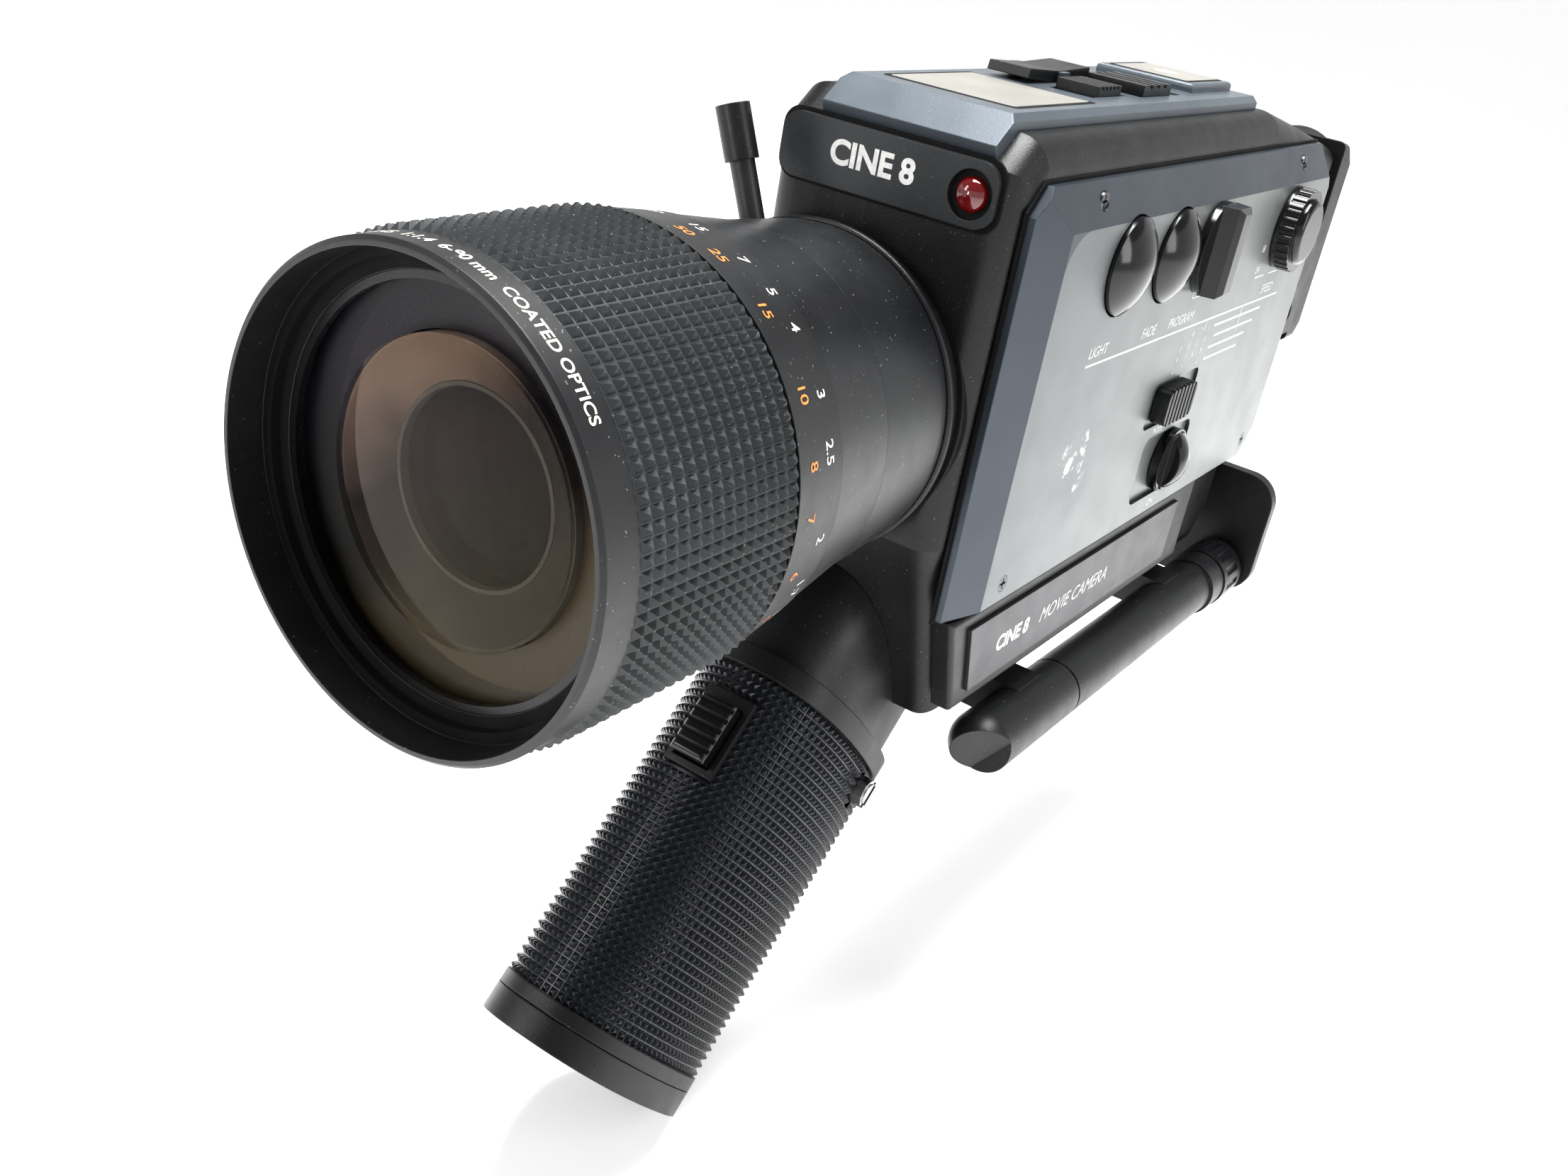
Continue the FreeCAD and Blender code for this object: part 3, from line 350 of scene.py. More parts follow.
M = {
    "casing": coated("casing_plastic", (0.0065, 0.0068, 0.0075), 0.38, 2600.0, 0.035 * MM, 0.6 * MM,
                     specular=0.4, dust=0.12),
    "plastic": coated("plain_plastic", (0.0065, 0.007, 0.008), 0.36, 2600.0, 0.02 * MM, 0.4 * MM,
                      specular=0.4, dust=0.10),
    "ring_rubber": coated("ring_rubber", (0.024, 0.027, 0.029), 0.42, 1800.0, 0.01 * MM, dust=0.2),
    "rubber": coated("grip_rubber", (0.0085, 0.0100, 0.0130), 0.30, 1800.0, 0.004 * MM,
                     specular=0.6, dust=0.08),
    "cup": coated("cup_rubber", (0.016, 0.016, 0.017), 0.72, 1500.0, 0.03 * MM, 0.4 * MM,
                  specular=0.3, dust=0.2),
    "cover": coated("cover_paint", (0.088, 0.105, 0.122), 0.34, 2400.0, 0.012 * MM, 0.35 * MM,
                    metallic=0.3, vary=0.08, dust=0.1),
    "slate": coated("slate_paint", (0.048, 0.059, 0.071), 0.36, 2400.0, 0.012 * MM, 0.35 * MM,
                    metallic=0.25, vary=0.08, dust=0.1),
    "gloss": coated("gloss_black", (0.005, 0.005, 0.006), 0.14, 800.0, 0.002 * MM, 0.35 * MM,
                    specular=0.35, coat=0.3),
    "plate": coated("plate_grey", (0.034, 0.036, 0.039), 0.34, 2600.0, 0.01 * MM, 0.3 * MM,
                    metallic=0.3, dust=0.12),
    "anodised": turned_black("anodised_black"),
    "anodised_light": turned_black("anodised_worn", 0.36, (0.009, 0.0098, 0.011)),
    "thread": coated("thread_black", (0.003, 0.003, 0.0035), 0.28, 2000.0, 0.002 * MM, specular=0.4),
    "inside": coated("inside_black", (0.004, 0.004, 0.005), 0.75, 1500.0, 0.02 * MM, specular=0.2),
    "steel": metal("machined_steel", (0.46, 0.46, 0.47), 0.3),
    "dark_steel": metal("dark_screw", (0.10, 0.10, 0.11), 0.3),
    "brass": metal("gear_brass", (0.72, 0.52, 0.22), 0.25),
    "panel": panel_paint(),
    "front_glass": glass("front_glass", (0.97, 0.97, 0.96), (0.12, 0.10, 0.18), (0.40, 0.31, 0.18), 0.55),
    "inner_glass": glass("inner_glass", (0.72, 0.70, 0.68), (0.95, 0.84, 0.74), (0.36, 0.38, 0.38), 0.55),
    "rear_glass": glass("rear_glass", (0.6, 0.62, 0.6), (0.75, 0.8, 0.75), (0.6, 0.6, 0.7), 2.2),
    "deep_glass": glass("deep_glass", (0.30, 0.32, 0.30), (0.50, 0.54, 0.50), (0.42, 0.48, 0.44), 0.45),
    # painted reflections on the cell walls: amber below and dark purple above on the funnel, grey below and a
    # beige highlight above on the cone
    "funnel": painted_reflection_wall("lens_funnel", (0.040, 0.029, 0.016), (0.004, 0.0035, 0.0035), (0.006, 0.004, 0.008),
                        0.4),
    "cone": painted_reflection_wall("lens_cone", (0.10, 0.10, 0.095), (0.008, 0.008, 0.007), (0.50, 0.37, 0.30), 0.3),
    # painted highlight: the third lens rim is painted pale grey to stand in for a bright rim highlight
    "painted_highlight_rim": coated("painted_highlight_rim", (0.16, 0.16, 0.15), 0.35, 900.0, 0.01 * MM),
    "label": coated("label_grey", (0.215, 0.21, 0.19), 0.42, 2400.0, 0.01 * MM, 0.2 * MM,
                    vary=0.12, dust=0.1),
    "gap": coated("gap_black", (0.003, 0.003, 0.003), 0.6, 2400.0, 0.01 * MM, specular=0.2),
    "lamp": lamp_red(),
    "white_ink": ink("white_ink", (0.82, 0.82, 0.80)),
    "cream_ink": ink("cream_ink", (0.78, 0.74, 0.62)),
    "orange_ink": ink("orange_ink", (0.80, 0.26, 0.06)),
    "board": board(),
    "cell": coated("cell_wrap", (0.02, 0.05, 0.12), 0.2, 800.0, 0.002 * MM, 0.3 * MM, coat=0.6),
}

NODE_LOOK = {
    "door_side_shell": "casing", "control_side_shell": "casing", "top_cover": "cover", "rear_frame": "casing",
    "control_panel": "panel", "side_name_plate": "plate", "front_name_plate": "plate", "led_lamp": "lamp",
    "socket_block": "plastic", "casing_screws": "dark_steel", "tripod_bush": "steel", "lens_barrel": "anodised",
    "index_ring": "anodised_light", "focus_barrel": "anodised", "focus_rubber": "ring_rubber",
    "front_retaining_ring": "thread", "front_lens_group": "front_glass", "zoom_ring": "anodised_light",
    "zoom_lever": "anodised", "zoom_lever_sleeve": "plastic", "zoom_lens_group": "inner_glass",
    "iris_diaphragm": "steel", "rear_lens_group": "rear_glass", "film_chamber": "casing",
    "takeup_spindle": "plastic", "shutter_disc": "steel", "shutter_gear": "brass", "motor_pinion": "brass",
    "drive_motor": "steel", "beam_splitter": "rear_glass", "viewfinder_tube": "inside",
    "eyepiece_barrel": "plastic", "eyepiece_lens": "rear_glass", "diopter_ring": "plastic", "eyecup": "cup",
    "circuit_board": "board", "film_door": "slate", "door_latch": "plastic", "door_hinge_pin": "dark_steel",
    "program_lever": "gloss", "serrated_dial": "gloss", "slide_switch": "plastic", "rotary_switch": "gloss",
    "zoom_rocker": "plastic", "top_slide_key": "plastic", "top_slide_switch": "plastic", "grip_core": "casing",
    "grip_sleeve": "rubber", "trigger_bezel": "plastic", "trigger": "gloss", "strap_stud": "steel",
    "battery_cells": "cell", "battery_contacts": "brass", "grip_cap": "casing", "brace_tube": "anodised",
    "brace_rod": "anodised", "brace_collar": "plastic", "shoulder_pad": "casing", "backlight_button": "gloss",
    "fade_button": "gloss",
}


def dress(obj, look):
    obj.data.materials.clear()
    obj.data.materials.append(M[look])


for node_name, look in NODE_LOOK.items():
    dress(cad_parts[node_name], look)


# ---------------------------------------------------------------- mesh helpers

def piece(name, verts, faces, look, body, smooth=False, sharp=None):
    mesh = bpy.data.meshes.new(name)
    mesh.from_pydata([tuple(v) for v in verts], [], faces)
    mesh.update()
    obj = bpy.data.objects.new(name, mesh)
    bpy.context.scene.collection.objects.link(obj)
    mesh.materials.append(M[look])
    if smooth:
        mesh.shade_smooth()
    if sharp is not None:
        mesh.shade_smooth()
        mesh.set_sharp_from_angle(angle=math.radians(sharp))
    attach(obj, body)
    return obj


def around(angle, radius, y):
    """Point on a ring about the lens axis; the angle runs from the top towards +X."""
    return Vector((LENS_X + radius * math.sin(angle), y, LENS_Z + radius * math.cos(angle)))


def turned(profile, count=160):
    """Closed ring from a loop of (y, radius) points in millimetres."""
    verts, faces = [], []
    size = len(profile)
    for step in range(count):
        angle = 2 * math.pi * step / count
        for y, radius in profile:
            verts.append(around(angle, radius * MM, y * MM))
    for step in range(count):
        here, there = step * size, (step + 1) % count * size
        for k in range(size):
            nxt = (k + 1) % size
            faces.append((here + k, here + nxt, there + nxt, there + k))
    return verts, faces


def inset_square(a, b, inset):
    """Corners of the unit cell at (a, b), drawn in by inset."""
    return [(a + inset, b + inset), (a + 1 - inset, b + inset), (a + 1 - inset, b + 1 - inset),
            (a + inset, b + 1 - inset)]


def pyramids(place, rows, columns, depth, hole=None):
    """Checkered skin, closed round its columns.

    place(u, v, h) gives a point for row u, column v and height h; hole(u, v) leaves cells out.
    """
    gutter, tip_half = 0.06, 0.07
    verts, faces, index = [], [], {}

    def point(u, v, h):
        key = (round(u, 4), round(v % columns, 4), h)
        if key not in index:
            index[key] = len(verts)
            verts.append(place(u, v, h))
        return index[key]

    for row in range(rows):
        for column in range(columns):
            if hole and hole(row + 0.5, column + 0.5):
                continue
            a, b = row, column
            corners = [(a, b), (a + 1, b), (a + 1, b + 1), (a, b + 1)]
            inner = inset_square(a, b, gutter)
            peak = inset_square(a, b, 0.5 - tip_half)
            outer = [point(u, v, 0.0) for u, v in corners]
            ring = [point(u, v, 0.001) for u, v in inner]
            tip = [point(u, v, depth) for u, v in peak]
            for k in range(4):
                n = (k + 1) % 4
                faces.append((outer[k], outer[n], ring[n], ring[k]))
                faces.append((ring[k], ring[n], tip[n], tip[k]))
            faces.append(tuple(tip))
    return verts, faces


def lettering(text, size, bold=0.0, slant=0.0, spacing=1.0, align="CENTER"):
    """Flat text mesh: list of vertices (x along the line, y up) in metres, and faces."""
    curve = bpy.data.curves.new("letters", "FONT")
    curve.body = text
    curve.size = size * MM
    curve.offset = bold * MM
    curve.shear = slant
    curve.space_character = spacing
    curve.align_x = align
    curve.align_y = "CENTER"
    curve.resolution_u = 6
    obj = bpy.data.objects.new("letters", curve)
    bpy.context.scene.collection.objects.link(obj)
    bpy.context.view_layer.update()
    mesh = bpy.data.meshes.new_from_object(obj.evaluated_get(bpy.context.evaluated_depsgraph_get()))
    verts = [Vector(v.co) for v in mesh.vertices]
    faces = [tuple(p.vertices) for p in mesh.polygons]
    bpy.data.objects.remove(obj)
    bpy.data.curves.remove(curve)
    bpy.data.meshes.remove(mesh)
    return verts, faces


def join(parts):
    verts, faces = [], []
    for some_verts, some_faces in parts:
        start = len(verts)
        verts += some_verts
        faces += [tuple(i + start for i in face) for face in some_faces]
    return verts, faces


def flat_text(text, size, origin, along, up, **style):
    """Letters laid on a plane: along runs with the line, up is the letters' upward direction."""
    verts, faces = lettering(text, size, **style)
    along, up, origin = Vector(along), Vector(up), Vector(origin)
    return [origin + along * v.x + up * v.y for v in verts], faces


def bar(origin, along, up, length, width):
    """Thin printed line as one quad."""
    origin, along, up = Vector(origin), Vector(along), Vector(up)
    h = up * width / 2
    end = origin + along * length
    return [origin - h, end - h, end + h, origin + h], [(0, 1, 2, 3)]


def ring_text(text, size, angle, y, radius, **style):
    """Letters wrapped on a ring about the lens: the line runs round it, with the glyph tops towards +Y."""
    verts, faces = lettering(text, size, **style)
    out = []
    for v in verts:
        r = radius(y * MM + v.y) if callable(radius) else radius * MM
        out.append(around(math.radians(angle) + v.x / r, r, y * MM + v.y))
    return out, faces


# ---------------------------------------------------------------- lens

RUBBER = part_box("focus_rubber")
rubber_y0, rubber_y1 = RUBBER[0][1], RUBBER[1][1]
rubber_r = (RUBBER[1][0] - RUBBER[0][0]) / 2
RUBBER_ROWS, RUBBER_COLUMNS = 14, 112


def rubber_point(u, v, h):
    angle = 2 * math.pi * v / RUBBER_COLUMNS
    y = rubber_y0 + (rubber_y1 - rubber_y0) * u / RUBBER_ROWS
    return around(angle, rubber_r - 1.12 * MM + h * MM, y)


verts, faces = pyramids(rubber_point, RUBBER_ROWS, RUBBER_COLUMNS, 1.08)
piece("focus_grip_pyramids", verts, faces, "ring_rubber", "focus_unit")
base_r = (rubber_r - 1.06 * MM) / MM
verts, faces = turned([(rubber_y0 / MM, 38.8), (rubber_y0 / MM, base_r - 0.02),
                       (rubber_y1 / MM, base_r - 0.02), (rubber_y1 / MM, 38.8)])
backing = piece("focus_grip_backing", verts, faces, "ring_rubber", "focus_unit")
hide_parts("focus_rubber")

WHITE_MARKS = [("∞", -5.2), ("15", 7.8), ("7", 22.8), ("5", 33.5), ("4", 43.6), ("3", 60.3), ("2.5", 74.3),
               ("2", 96.6), ("1.7", 112.0), ("1.5", 124.0)]
ORANGE_MARKS = [("50", 10.3), ("25", 21.2), ("15", 38.2), ("10", 59.0), ("8", 75.8), ("7", 88.6), ("6", 104.0),
                ("5", 119.0)]
SCALE_SLOPE = (38.4 - 40.4) / (-138.65 + 154.0)


def scale_radius(y):
    return (40.4 + SCALE_SLOPE * (y / MM + 154.0) + 0.03) * MM


def ring_marks(marks, y, look, name):
    parts = [ring_text(text, 3.6, angle, y, scale_radius, bold=0.03) for text, angle in marks]
    verts, faces = join(parts)
    piece(name, verts, faces, look, "focus_unit")


ring_marks(WHITE_MARKS, -143.4, "white_ink", "distance_marks_metres")
ring_marks(ORANGE_MARKS, -149.2, "orange_ink", "distance_marks_feet")

verts, faces = ring_text("ZOOM LENS  1:1.4  6-90 mm  COATED OPTICS", 3.0, 53.0, -195.9, 40.03, bold=0.06,
                         align="RIGHT")
piece("rim_lettering", verts, faces, "cream_ink", "focus_unit")

# filter thread: a stack of fine ridges inside the lip, and a step of finer ones behind it
THREAD_R = (high("focus_barrel")[0] - low("focus_barrel")[0]) / 2 / MM - 2.5


def thread(y0, pitch, count, radius):
    """Ring of fine ridges that point inwards."""
    wall = 0.15
    loop = [(y0, radius + wall), (y0, radius)]
    for step in range(count):
        y = y0 + step * pitch
        crest = radius - 0.45 * pitch
        loop += [(y + 0.2 * pitch, radius), (y + 0.4 * pitch, crest), (y + 0.6 * pitch, crest),
                 (y + 0.8 * pitch, radius)]
    loop += [(y0 + count * pitch, radius), (y0 + count * pitch, radius + wall)]
    return turned(loop, 128)


verts, faces = join([thread(-199.3, 0.75, 8, THREAD_R + 0.98), thread(-193.1, 0.55, 3, THREAD_R - 0.95)])
piece("filter_thread_ridges", verts, faces, "thread", "focus_unit", sharp=30)

verts, faces = turned([(-193.25, 38.4), (-193.25, 36.5), (-191.5, 36.5), (-191.5, 34.5), (-191.25, 34.5),
                       (-191.25, 36.8), (-193.0, 36.8), (-193.0, 38.4)])
piece("rim_liner", verts, faces, "inside", "focus_unit", sharp=30)


# the front glass, and what shows through it
def dome(y_edge, radius, bulge, thick, rings=14):
    """Profile of a thin curved glass, from its edge to its axis and back."""
    sphere = (radius ** 2 + bulge ** 2) / (2 * bulge)
    front, back = [], []
    for step in range(rings + 1):
        r = radius * (1 - step / rings) + 0.02 * step / rings
        y = y_edge - bulge + sphere - math.sqrt(sphere ** 2 - r ** 2)
        front.append((y, r))
        back.append((y + thick, r))
    return front + back[::-1]


def lens_ring(name, profile, look, sharp=35):
    """Turned piece that rides on the focus unit."""
    verts, faces = turned(profile, 128)
    return piece(name, verts, faces, look, "focus_unit", sharp=sharp)


front_element = lens_ring("front_element", dome(-189.7, 34.1, 3.3, 1.0), "front_glass", 50)
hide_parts("front_lens_group")
lens_ring("front_cell", [(-188.4, 34.3), (-188.4, 33.4), (-187.4, 29.4), (-187.1, 25.2), (-178.4, 25.2),
                         (-178.4, 34.3)], "funnel")
lens_ring("second_element", dome(-189.7, 25.0, 2.0, 0.8), "inner_glass", 50)
lens_ring("second_cell", [(-188.6, 24.9), (-188.6, 24.4), (-185.6, 20.4), (-184.2, 17.0), (-178.4, 17.0),
                          (-178.4, 24.9)], "cone")
# painted highlight: this rim's pale grey stands in for a bright rim highlight
lens_ring("third_rim", [(-184.4, 16.9), (-184.4, 16.2), (-182.6, 16.2), (-182.6, 16.9)], "painted_highlight_rim")
lens_ring("third_element", dome(-182.8, 16.1, 2.6, 0.6), "deep_glass", 50)
lens_ring("fourth_rim", [(-181.2, 14.9), (-181.2, 12.2), (-178.6, 11.4), (-178.6, 14.9)], "funnel")


# ---------------------------------------------------------------- pistol grip

def in_grip(x, y, z):
    """Point of the grip's slanted frame, millimetres, in the row frame."""
    c, s = math.cos(GRIP_SLANT), math.sin(GRIP_SLANT)
    return GRIP_AT + Vector((x, y * c - z * s, y * s + z * c)) * MM


OVAL_A, OVAL_B, OVAL_POWER = 19.5, 31.0, 2.4


def oval(turn, shrink=0.0):
    c, s = math.cos(turn), math.sin(turn)
    x = math.copysign(abs(c) ** (2 / OVAL_POWER), c) * (OVAL_A - shrink)
    y = math.copysign(abs(s) ** (2 / OVAL_POWER), s) * (OVAL_B - shrink)
    return x, y


def even_turns(count):
    """Turns of the oval that are evenly spaced along its outline, starting at its front."""
    steps = 2880
    walk, total, last = [0.0], 0.0, oval(-math.pi / 2)
    for step in range(1, steps + 1):
        here = oval(-math.pi / 2 + 2 * math.pi * step / steps)
        total += math.dist(here, last)
        walk.append(total)
        last = here
    turns, at = [], 0
    for k in range(count * 50 + 1):
        goal = total * k / (count * 50)
        while at < steps and walk[at + 1] < goal:
            at += 1
        share = (goal - walk[at]) / max(1e-9, walk[min(at + 1, steps)] - walk[at])
        turns.append(-math.pi / 2 + 2 * math.pi * (at + share) / steps)
    return turns


GRIP_COLUMNS, GRIP_ROWS = 84, 39
GRIP_TURNS = even_turns(GRIP_COLUMNS)
SLEEVE_END = -77.0


def grip_xy(v, h):
    k = (v % GRIP_COLUMNS) * 50
    low_k = int(math.floor(k))
    share = k - low_k
    turn = GRIP_TURNS[low_k] * (1 - share) + GRIP_TURNS[min(low_k + 1, len(GRIP_TURNS) - 1)] * share
    return oval(turn, 0.96 - h)


def sleeve_point(u, v, h):
    x, y = grip_xy(v, h)
    return in_grip(x, y, SLEEVE_END + (0 - SLEEVE_END) * u / GRIP_ROWS)


def sleeve_hole(u, v):
    x, y = grip_xy(v, 0.0)
    z = SLEEVE_END - SLEEVE_END * u / GRIP_ROWS
    in_bezel = abs(x) < 6.2 and y < -20 and -25.0 < z < -6.3
    at_stud = x > 10 and math.hypot(y - 9.0, z + 5.0) < 4.2
    return in_bezel or at_stud


verts, faces = pyramids(sleeve_point, GRIP_ROWS, GRIP_COLUMNS, 0.82, sleeve_hole)
piece("grip_checkering", verts, faces, "rubber", "camera_body")


def oval_band(z0, z1, outer, inner, count=164):
    """Closed oval ring between two heights of the grip."""
    verts, faces = [], []
    for step in range(count):
        turn = 2 * math.pi * step / count
        for z, shrink in ((z0, inner), (z0, outer), (z1, outer), (z1, inner)):
            x, y = oval(turn, shrink)
            verts.append(in_grip(x, y, z))
    for step in range(count):
        here, there = step * 4, (step + 1) % count * 4
        for k in range(4):
            n = (k + 1) % 4
            faces.append((here + k, here + n, there + n, there + k))
    return verts, faces


verts, faces = oval_band(SLEEVE_END, -25.2, 0.98, 1.65)
sleeve_back = piece("grip_sleeve_backing", verts, faces, "rubber", "camera_body")
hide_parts("grip_sleeve")


# ---------------------------------------------------------------- top and front trim

def slab(x0, x1, y0, y1, z0, z1, ease=0.25, corner=0.0, steps=5):
    """Thin plate in millimetres with rounded corners and an eased upper edge."""
    outline = []
    corners = ((x1 - corner, y1 - corner, 0), (x0 + corner, y1 - corner, 90), (x0 + corner, y0 + corner, 180),
               (x1 - corner, y0 + corner, 270))
    for cx, cy, start in corners:
        for step in range(steps + 1):
            turn = math.radians(start + 90 * step / steps)
            outline.append((cx + corner * math.cos(turn), cy + corner * math.sin(turn), math.cos(turn),
                            math.sin(turn)))
    count = len(outline)
    layers = [(z0, 0.0), (z1 - ease, 0.0), (z1, ease)]
    verts = [Vector((x - nx * inset, y - ny * inset, z)) * MM
             for z, inset in layers for x, y, nx, ny in outline]
    faces = [tuple(range(count))[::-1], tuple(range(2 * count, 3 * count))]
    for layer in range(2):
        for k in range(count):
            n = (k + 1) % count
            here, above = layer * count, (layer + 1) * count
            faces.append((here + k, here + n, above + n, above + k))
    return verts, faces


COVER = 131.5
verts, faces = slab(-13.6, 16.6, -75.0, -38.0, COVER - 0.2, COVER + 0.06, 0.02, 1.5)
piece("top_label_border", verts, faces, "gap", "camera_body", sharp=30)
verts, faces = slab(-12.4, 15.4, -73.8, -39.2, COVER - 0.1, COVER + 0.14, 0.03, 1.0)
piece("top_label", verts, faces, "label", "camera_body", sharp=30)
verts, faces = slab(-9.6, 11.6, 25.0, 48.2, 133.5, 133.68, 0.02, 1.0)
piece("plinth_border", verts, faces, "gap", "camera_body", sharp=30)
verts, faces = slab(-8.6, 10.6, 26.0, 47.2, 133.5, 133.76, 0.03, 0.8)
piece("plinth_plate", verts, faces, "label", "camera_body", sharp=30)


def round_mark(x, y, z, r0, r1, count=40):
    verts, faces = [], []
    for step in range(count):
        turn = 2 * math.pi * step / count
        for r in (r0, r1):
            verts.append(Vector((x + r * math.cos(turn), y + r * math.sin(turn), z)) * MM)
    for step in range(count):
        here, there = 2 * step, 2 * ((step + 1) % count)
        faces.append((here, here + 1, there + 1, there))
    return verts, faces


def outline_plate(points, depth_axis, d0, d1, grow):
    """Flat plate from outline points (a, b) in millimetres, grown about its middle, between two depths."""
    ca = sum(p[0] for p in points) / len(points)
    cb = sum(p[1] for p in points) / len(points)
    grown = [(a + math.copysign(grow, a - ca), b + math.copysign(grow, b - cb)) for a, b in points]

    def place(a, b, d):
        return Vector((d, a, b)) * MM if depth_axis == "x" else Vector((a, d, b)) * MM

    count = len(grown)
    verts = [place(a, b, d) for d in (d0, d1) for a, b in grown]
    faces = [tuple(range(count))[::-1], tuple(range(count, 2 * count))]
    faces += [(k, (k + 1) % count, count + (k + 1) % count, count + k) for k in range(count)]
    return verts, faces


def rounded(a0, a1, b0, b1, r, steps=6):
    """Outline of a rectangle with rounded corners."""
    out = []
    corners = ((a1 - r, b1 - r, 0), (a0 + r, b1 - r, 90), (a0 + r, b0 + r, 180), (a1 - r, b0 + r, 270))
    for ca, cb, start in corners:
        for step in range(steps + 1):
            turn = math.radians(start + 90 * step / steps)
            out.append((ca + r * math.cos(turn), cb + r * math.sin(turn)))
    return out


# dark gaps round the panel and the front name plate
PANEL_OUTLINE = [(-84, 31), (90, 31), (97, 38), (97, 109), (88, 120.5), (-79, 120.5), (-84, 115)]
verts, faces = outline_plate(PANEL_OUTLINE, "x", 27.3, 28.0, 0.7)
piece("panel_gap", verts, faces, "gap", "camera_body")
verts, faces = outline_plate(rounded(-24.5, 23.4, 111.0, 123.4, 4.0), "y", -88.35, -87.6, 0.8)
piece("name_plate_gap", verts, faces, "gap", "camera_body")

# bead where the lens meets the body
verts, faces = turned([(-92.6 + 1.0 * math.cos(t * math.pi / 6), 33.1 + 0.75 * math.sin(t * math.pi / 6))
                       for t in range(12)], 128)
piece("lens_bead", verts, faces, "plastic", "camera_body", smooth=True)

# film door: a dark film window and finger ribs
DOOR_FACE = low("film_door")[0] / MM
verts, faces = outline_plate(rounded(6.0, 52.0, 62.0, 100.0, 4.0), "x",
                             DOOR_FACE - 0.05, DOOR_FACE + 0.5, 0.0)
piece("film_window_frame", verts, faces, "gap", "door")
verts, faces = outline_plate(rounded(8.0, 50.0, 64.0, 98.0, 3.0), "x", DOOR_FACE - 0.08, DOOR_FACE + 0.4, 0.0)
piece("film_window", verts, faces, "gloss", "door")
ribs = [outline_plate(rounded(8.0, 50.0, z, z + 1.2, 0.5, 3), "x", DOOR_FACE - 0.35, DOOR_FACE + 0.3, 0.0)
        for z in [26.0 + 3.0 * k for k in range(10)]]
verts, faces = join(ribs)
piece("door_grip_ribs", verts, faces, "slate", "door")

film_line = flat_text("-", 5.0, Vector((1.0, 36.6, 133.79)) * MM, (1, 0, 0), (0, 1, 0), bold=0.1)
verts, faces = join([round_mark(1.0, 36.6, 133.79, 1.9, 2.9), film_line])
piece("film_plane_mark", verts, faces, "white_ink", "camera_body")


# ---------------------------------------------------------------- lettering on the body

plate_y = NAME_FACE - 0.03 * MM
verts, faces = flat_text("CINE 8", 6.4, (-3.5 * MM, plate_y, 117.6 * MM), (1, 0, 0), (0, 0, 1), bold=0.22,
                         spacing=0.98)
piece("front_plate_lettering", verts, faces, "white_ink", "camera_body")

plate_x = PLATE_FACE + 0.03 * MM
verts, faces = join([
    flat_text("CINE 8", 5.4, (plate_x, -58 * MM, 18.0 * MM), (0, 1, 0), (0, 0, 1), bold=0.2, align="LEFT"),
    flat_text("MOVIE CAMERA", 5.4, (plate_x, -36 * MM, 18.0 * MM), (0, 1, 0), (0, 0, 1), bold=-0.02, slant=0.25,
              align="LEFT"),
])
piece("side_plate_lettering", verts, faces, "white_ink", "camera_body")

face_x = PANEL_FACE + 0.03 * MM


def panel_text(text, size, y, z, **style):
    return flat_text(text, size, (face_x, y * MM, z * MM), (0, 1, 0), (0, 0, 1),
                     align="LEFT", slant=0.2, **style)


def panel_line(y0, z0, y1, z1, width=0.35):
    start = Vector((face_x, y0 * MM, z0 * MM))
    end = Vector((face_x, y1 * MM, z1 * MM))
    along = (end - start).normalized()
    return bar(start, along, Vector((1, 0, 0)).cross(along), (end - start).length, width * MM)


prints = [panel_text("LIGHT", 3.4, -48.5, 84.2), panel_text("FADE", 3.4, -20.0, 84.2),
          panel_text("PROGRAM", 3.4, -4.0, 84.2), panel_text("SPEED", 3.4, 62.0, 84.2),
          panel_line(-48.7, 81.5, 77.9, 81.5, 0.5)]
for row in range(4):
    for column in range(4):
        prints.append(panel_text(str((row * 4 + column * 3) % 9 + 1), 2.2, 10.0 + column * 5.4 - row * 0.6,
                                 79.0 - row * 2.9))
for row, (y0, y1) in enumerate(((31, 66), (33, 62), (31, 58), (30, 54))):
    prints.append(panel_line(y0, 79.0 - row * 2.9, y1, 79.0 - row * 2.9, 0.6))
prints += [panel_line(50, 81.5, 50, 74.5), panel_line(24, 81.5, 24, 78.5), panel_text("MODE", 2.2, 7.0, 55.3),
           panel_text("ON", 2.6, 18.0, 33.4), panel_text("18", 2.6, 52.0, 96.0), panel_text("24", 2.6, 52.0, 90.5),
           panel_line(7.5, 89.0, 18.0, 89.0), panel_line(7.5, 89.0, 7.5, 91.5), panel_line(18.0, 89.0, 18.0, 91.5),
           panel_line(53, 88.5, 60, 88.5), panel_line(64, 88.5, 71, 88.5)]
verts, faces = join(prints)
piece("panel_lettering", verts, faces, "white_ink", "camera_body")


# ---------------------------------------------------------------- stage, lights and camera

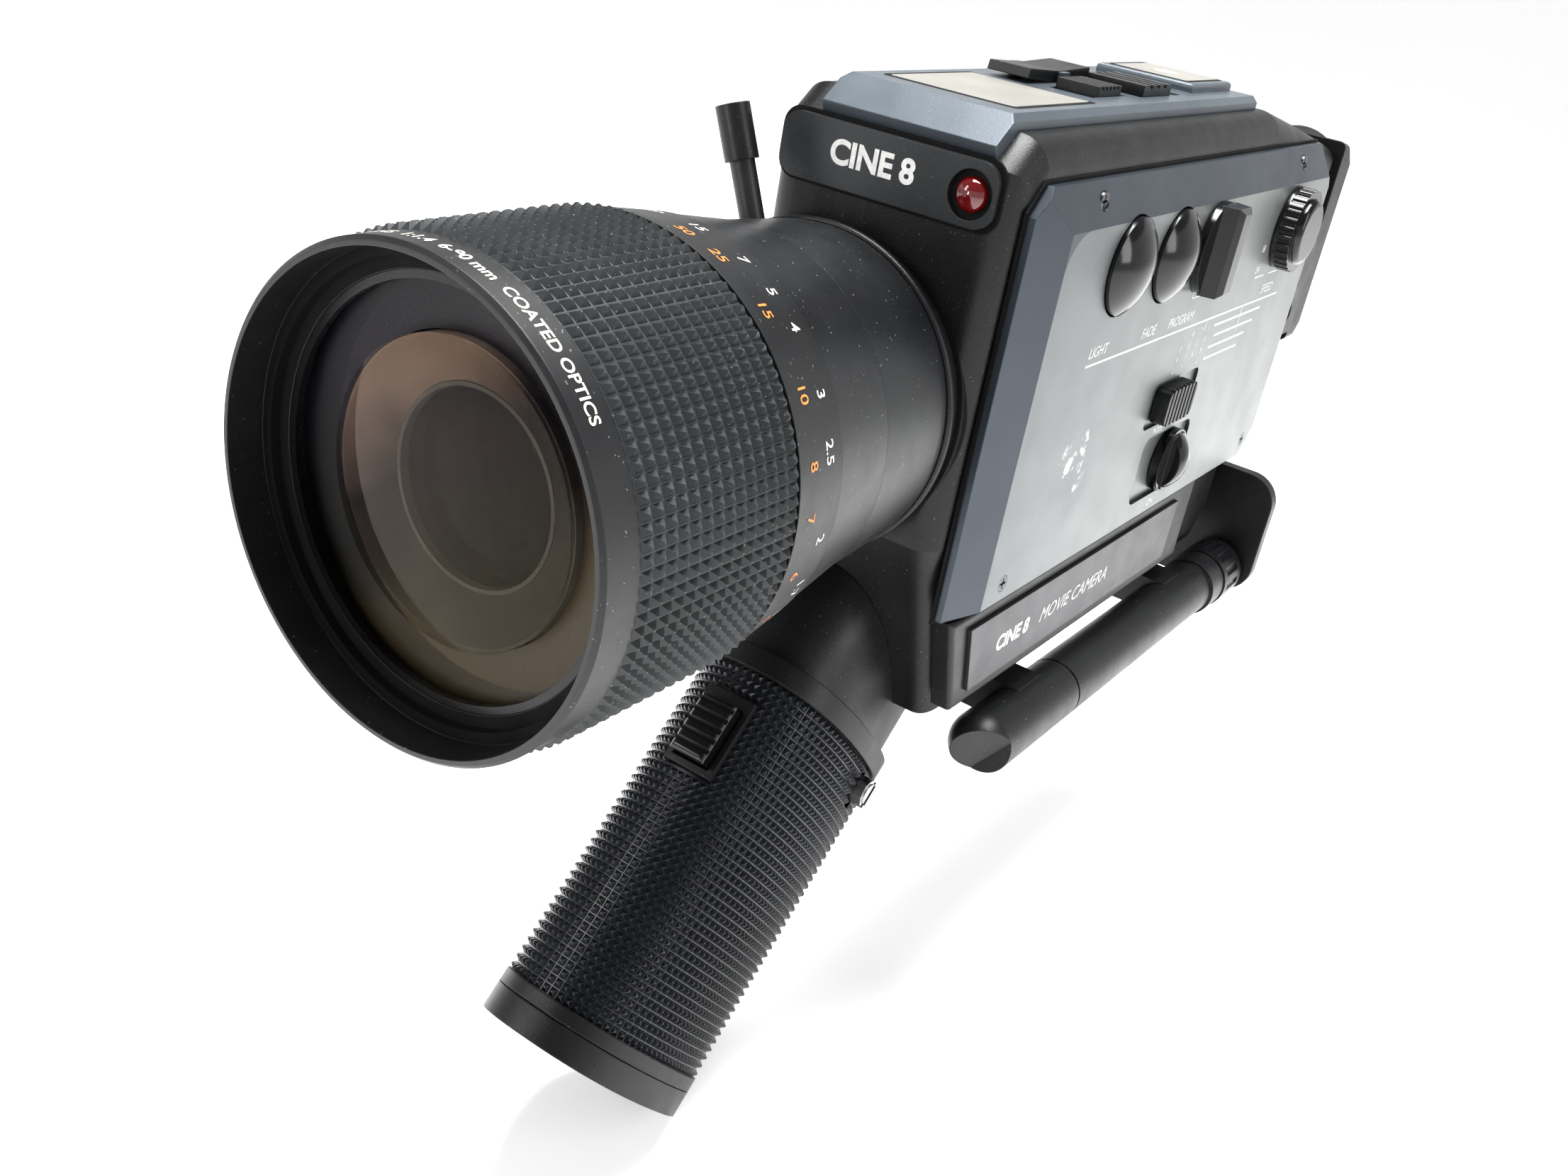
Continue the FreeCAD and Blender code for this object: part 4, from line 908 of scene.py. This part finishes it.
def floor():
    """Pale floor that curves up all round into a backdrop."""
    n = Nodes("pale_floor")
    n.link(n.mix(n.spread(n.noise(3.0, 2.0), 0.3, 0.7), (0.87, 0.87, 0.87), (0.89, 0.89, 0.89)),
           n.shader.inputs["Base Color"])
    n.put("Roughness", 0.7)
    n.put("Specular IOR Level", 0.2)
    n.put("Emission Color", (1.0, 1.0, 1.0, 1.0))
    n.put("Emission Strength", 0.40)
    flat_r, curve_r, base, count = 2.2, 1.8, cad_low[2] - 0.2 * MM, 72
    profile = [(flat_r, 0.0)]
    for step in range(1, 13):
        turn = math.pi / 2 * step / 12
        profile.append((flat_r + curve_r * math.sin(turn), curve_r * (1 - math.cos(turn))))
    verts, faces = [(0.0, 0.0, base)], []
    for r, z in profile:
        for step in range(count):
            turn = 2 * math.pi * step / count
            verts.append((r * math.cos(turn), r * math.sin(turn), base + z))
    for step in range(count):
        faces.append((0, 1 + step, 1 + (step + 1) % count))
        for ring in range(len(profile) - 1):
            here, there = 1 + ring * count, 1 + (ring + 1) * count
            faces.append((here + step, there + step, there + (step + 1) % count, here + (step + 1) % count))
    mesh = bpy.data.meshes.new("floor")
    mesh.from_pydata(verts, [], faces)
    mesh.materials.append(n.mat)
    mesh.shade_smooth()
    obj = bpy.data.objects.new("floor", mesh)
    bpy.context.scene.collection.objects.link(obj)


floor()

world = bpy.data.worlds.new("studio")
world.use_nodes = True
world.node_tree.nodes["Background"].inputs["Color"].default_value = (1.0, 1.0, 1.0, 1.0)
world.node_tree.nodes["Background"].inputs["Strength"].default_value = 0.32
bpy.context.scene.world = world


def area_light(name, place, target, size, power, color=(1, 1, 1)):
    data = bpy.data.lights.new(name, "AREA")
    data.shape = "RECTANGLE"
    data.size, data.size_y = size
    data.energy = power
    data.color = color
    obj = bpy.data.objects.new(name, data)
    obj.location = place
    obj.rotation_euler = (Vector(target) - Vector(place)).to_track_quat("-Z", "Y").to_euler()
    bpy.context.scene.collection.objects.link(obj)


TARGET = (0.0, -0.03, 0.04)
area_light("overhead", (-0.05, 0.1, 1.25), TARGET, (0.8, 0.8), 46)
area_light("side", (1.15, 0.1, 0.55), TARGET, (0.35, 0.9), 5)
area_light("front_left", (-0.7, -1.0, 0.7), TARGET, (0.35, 0.6), 5)
area_light("window", (-0.40, -2.0, 0.30), TARGET, (0.22, 0.55), 7)

camera_data = bpy.data.cameras.new("view")
camera_data.sensor_width = 36.0
camera_data.lens = 34.86
camera_data.clip_start = 0.01
camera_data.clip_end = 50.0
camera = bpy.data.objects.new("view", camera_data)
azimuth, elevation, roll = math.radians(30.518), math.radians(25.699), math.radians(10.443)
forward = Vector((-math.sin(azimuth) * math.cos(elevation), math.cos(azimuth) * math.cos(elevation),
                  -math.sin(elevation)))
camera.matrix_world = (Matrix.Translation(Vector((143.9, -343.0, 167.9)) * MM)
                       @ forward.to_track_quat("-Z", "Y").to_matrix().to_4x4() @ Matrix.Rotation(roll, 4, "Z"))
bpy.context.scene.collection.objects.link(camera)
bpy.context.scene.camera = camera
bpy.context.scene.view_settings.view_transform = "Standard"
bpy.context.scene.view_settings.gamma = 0.87
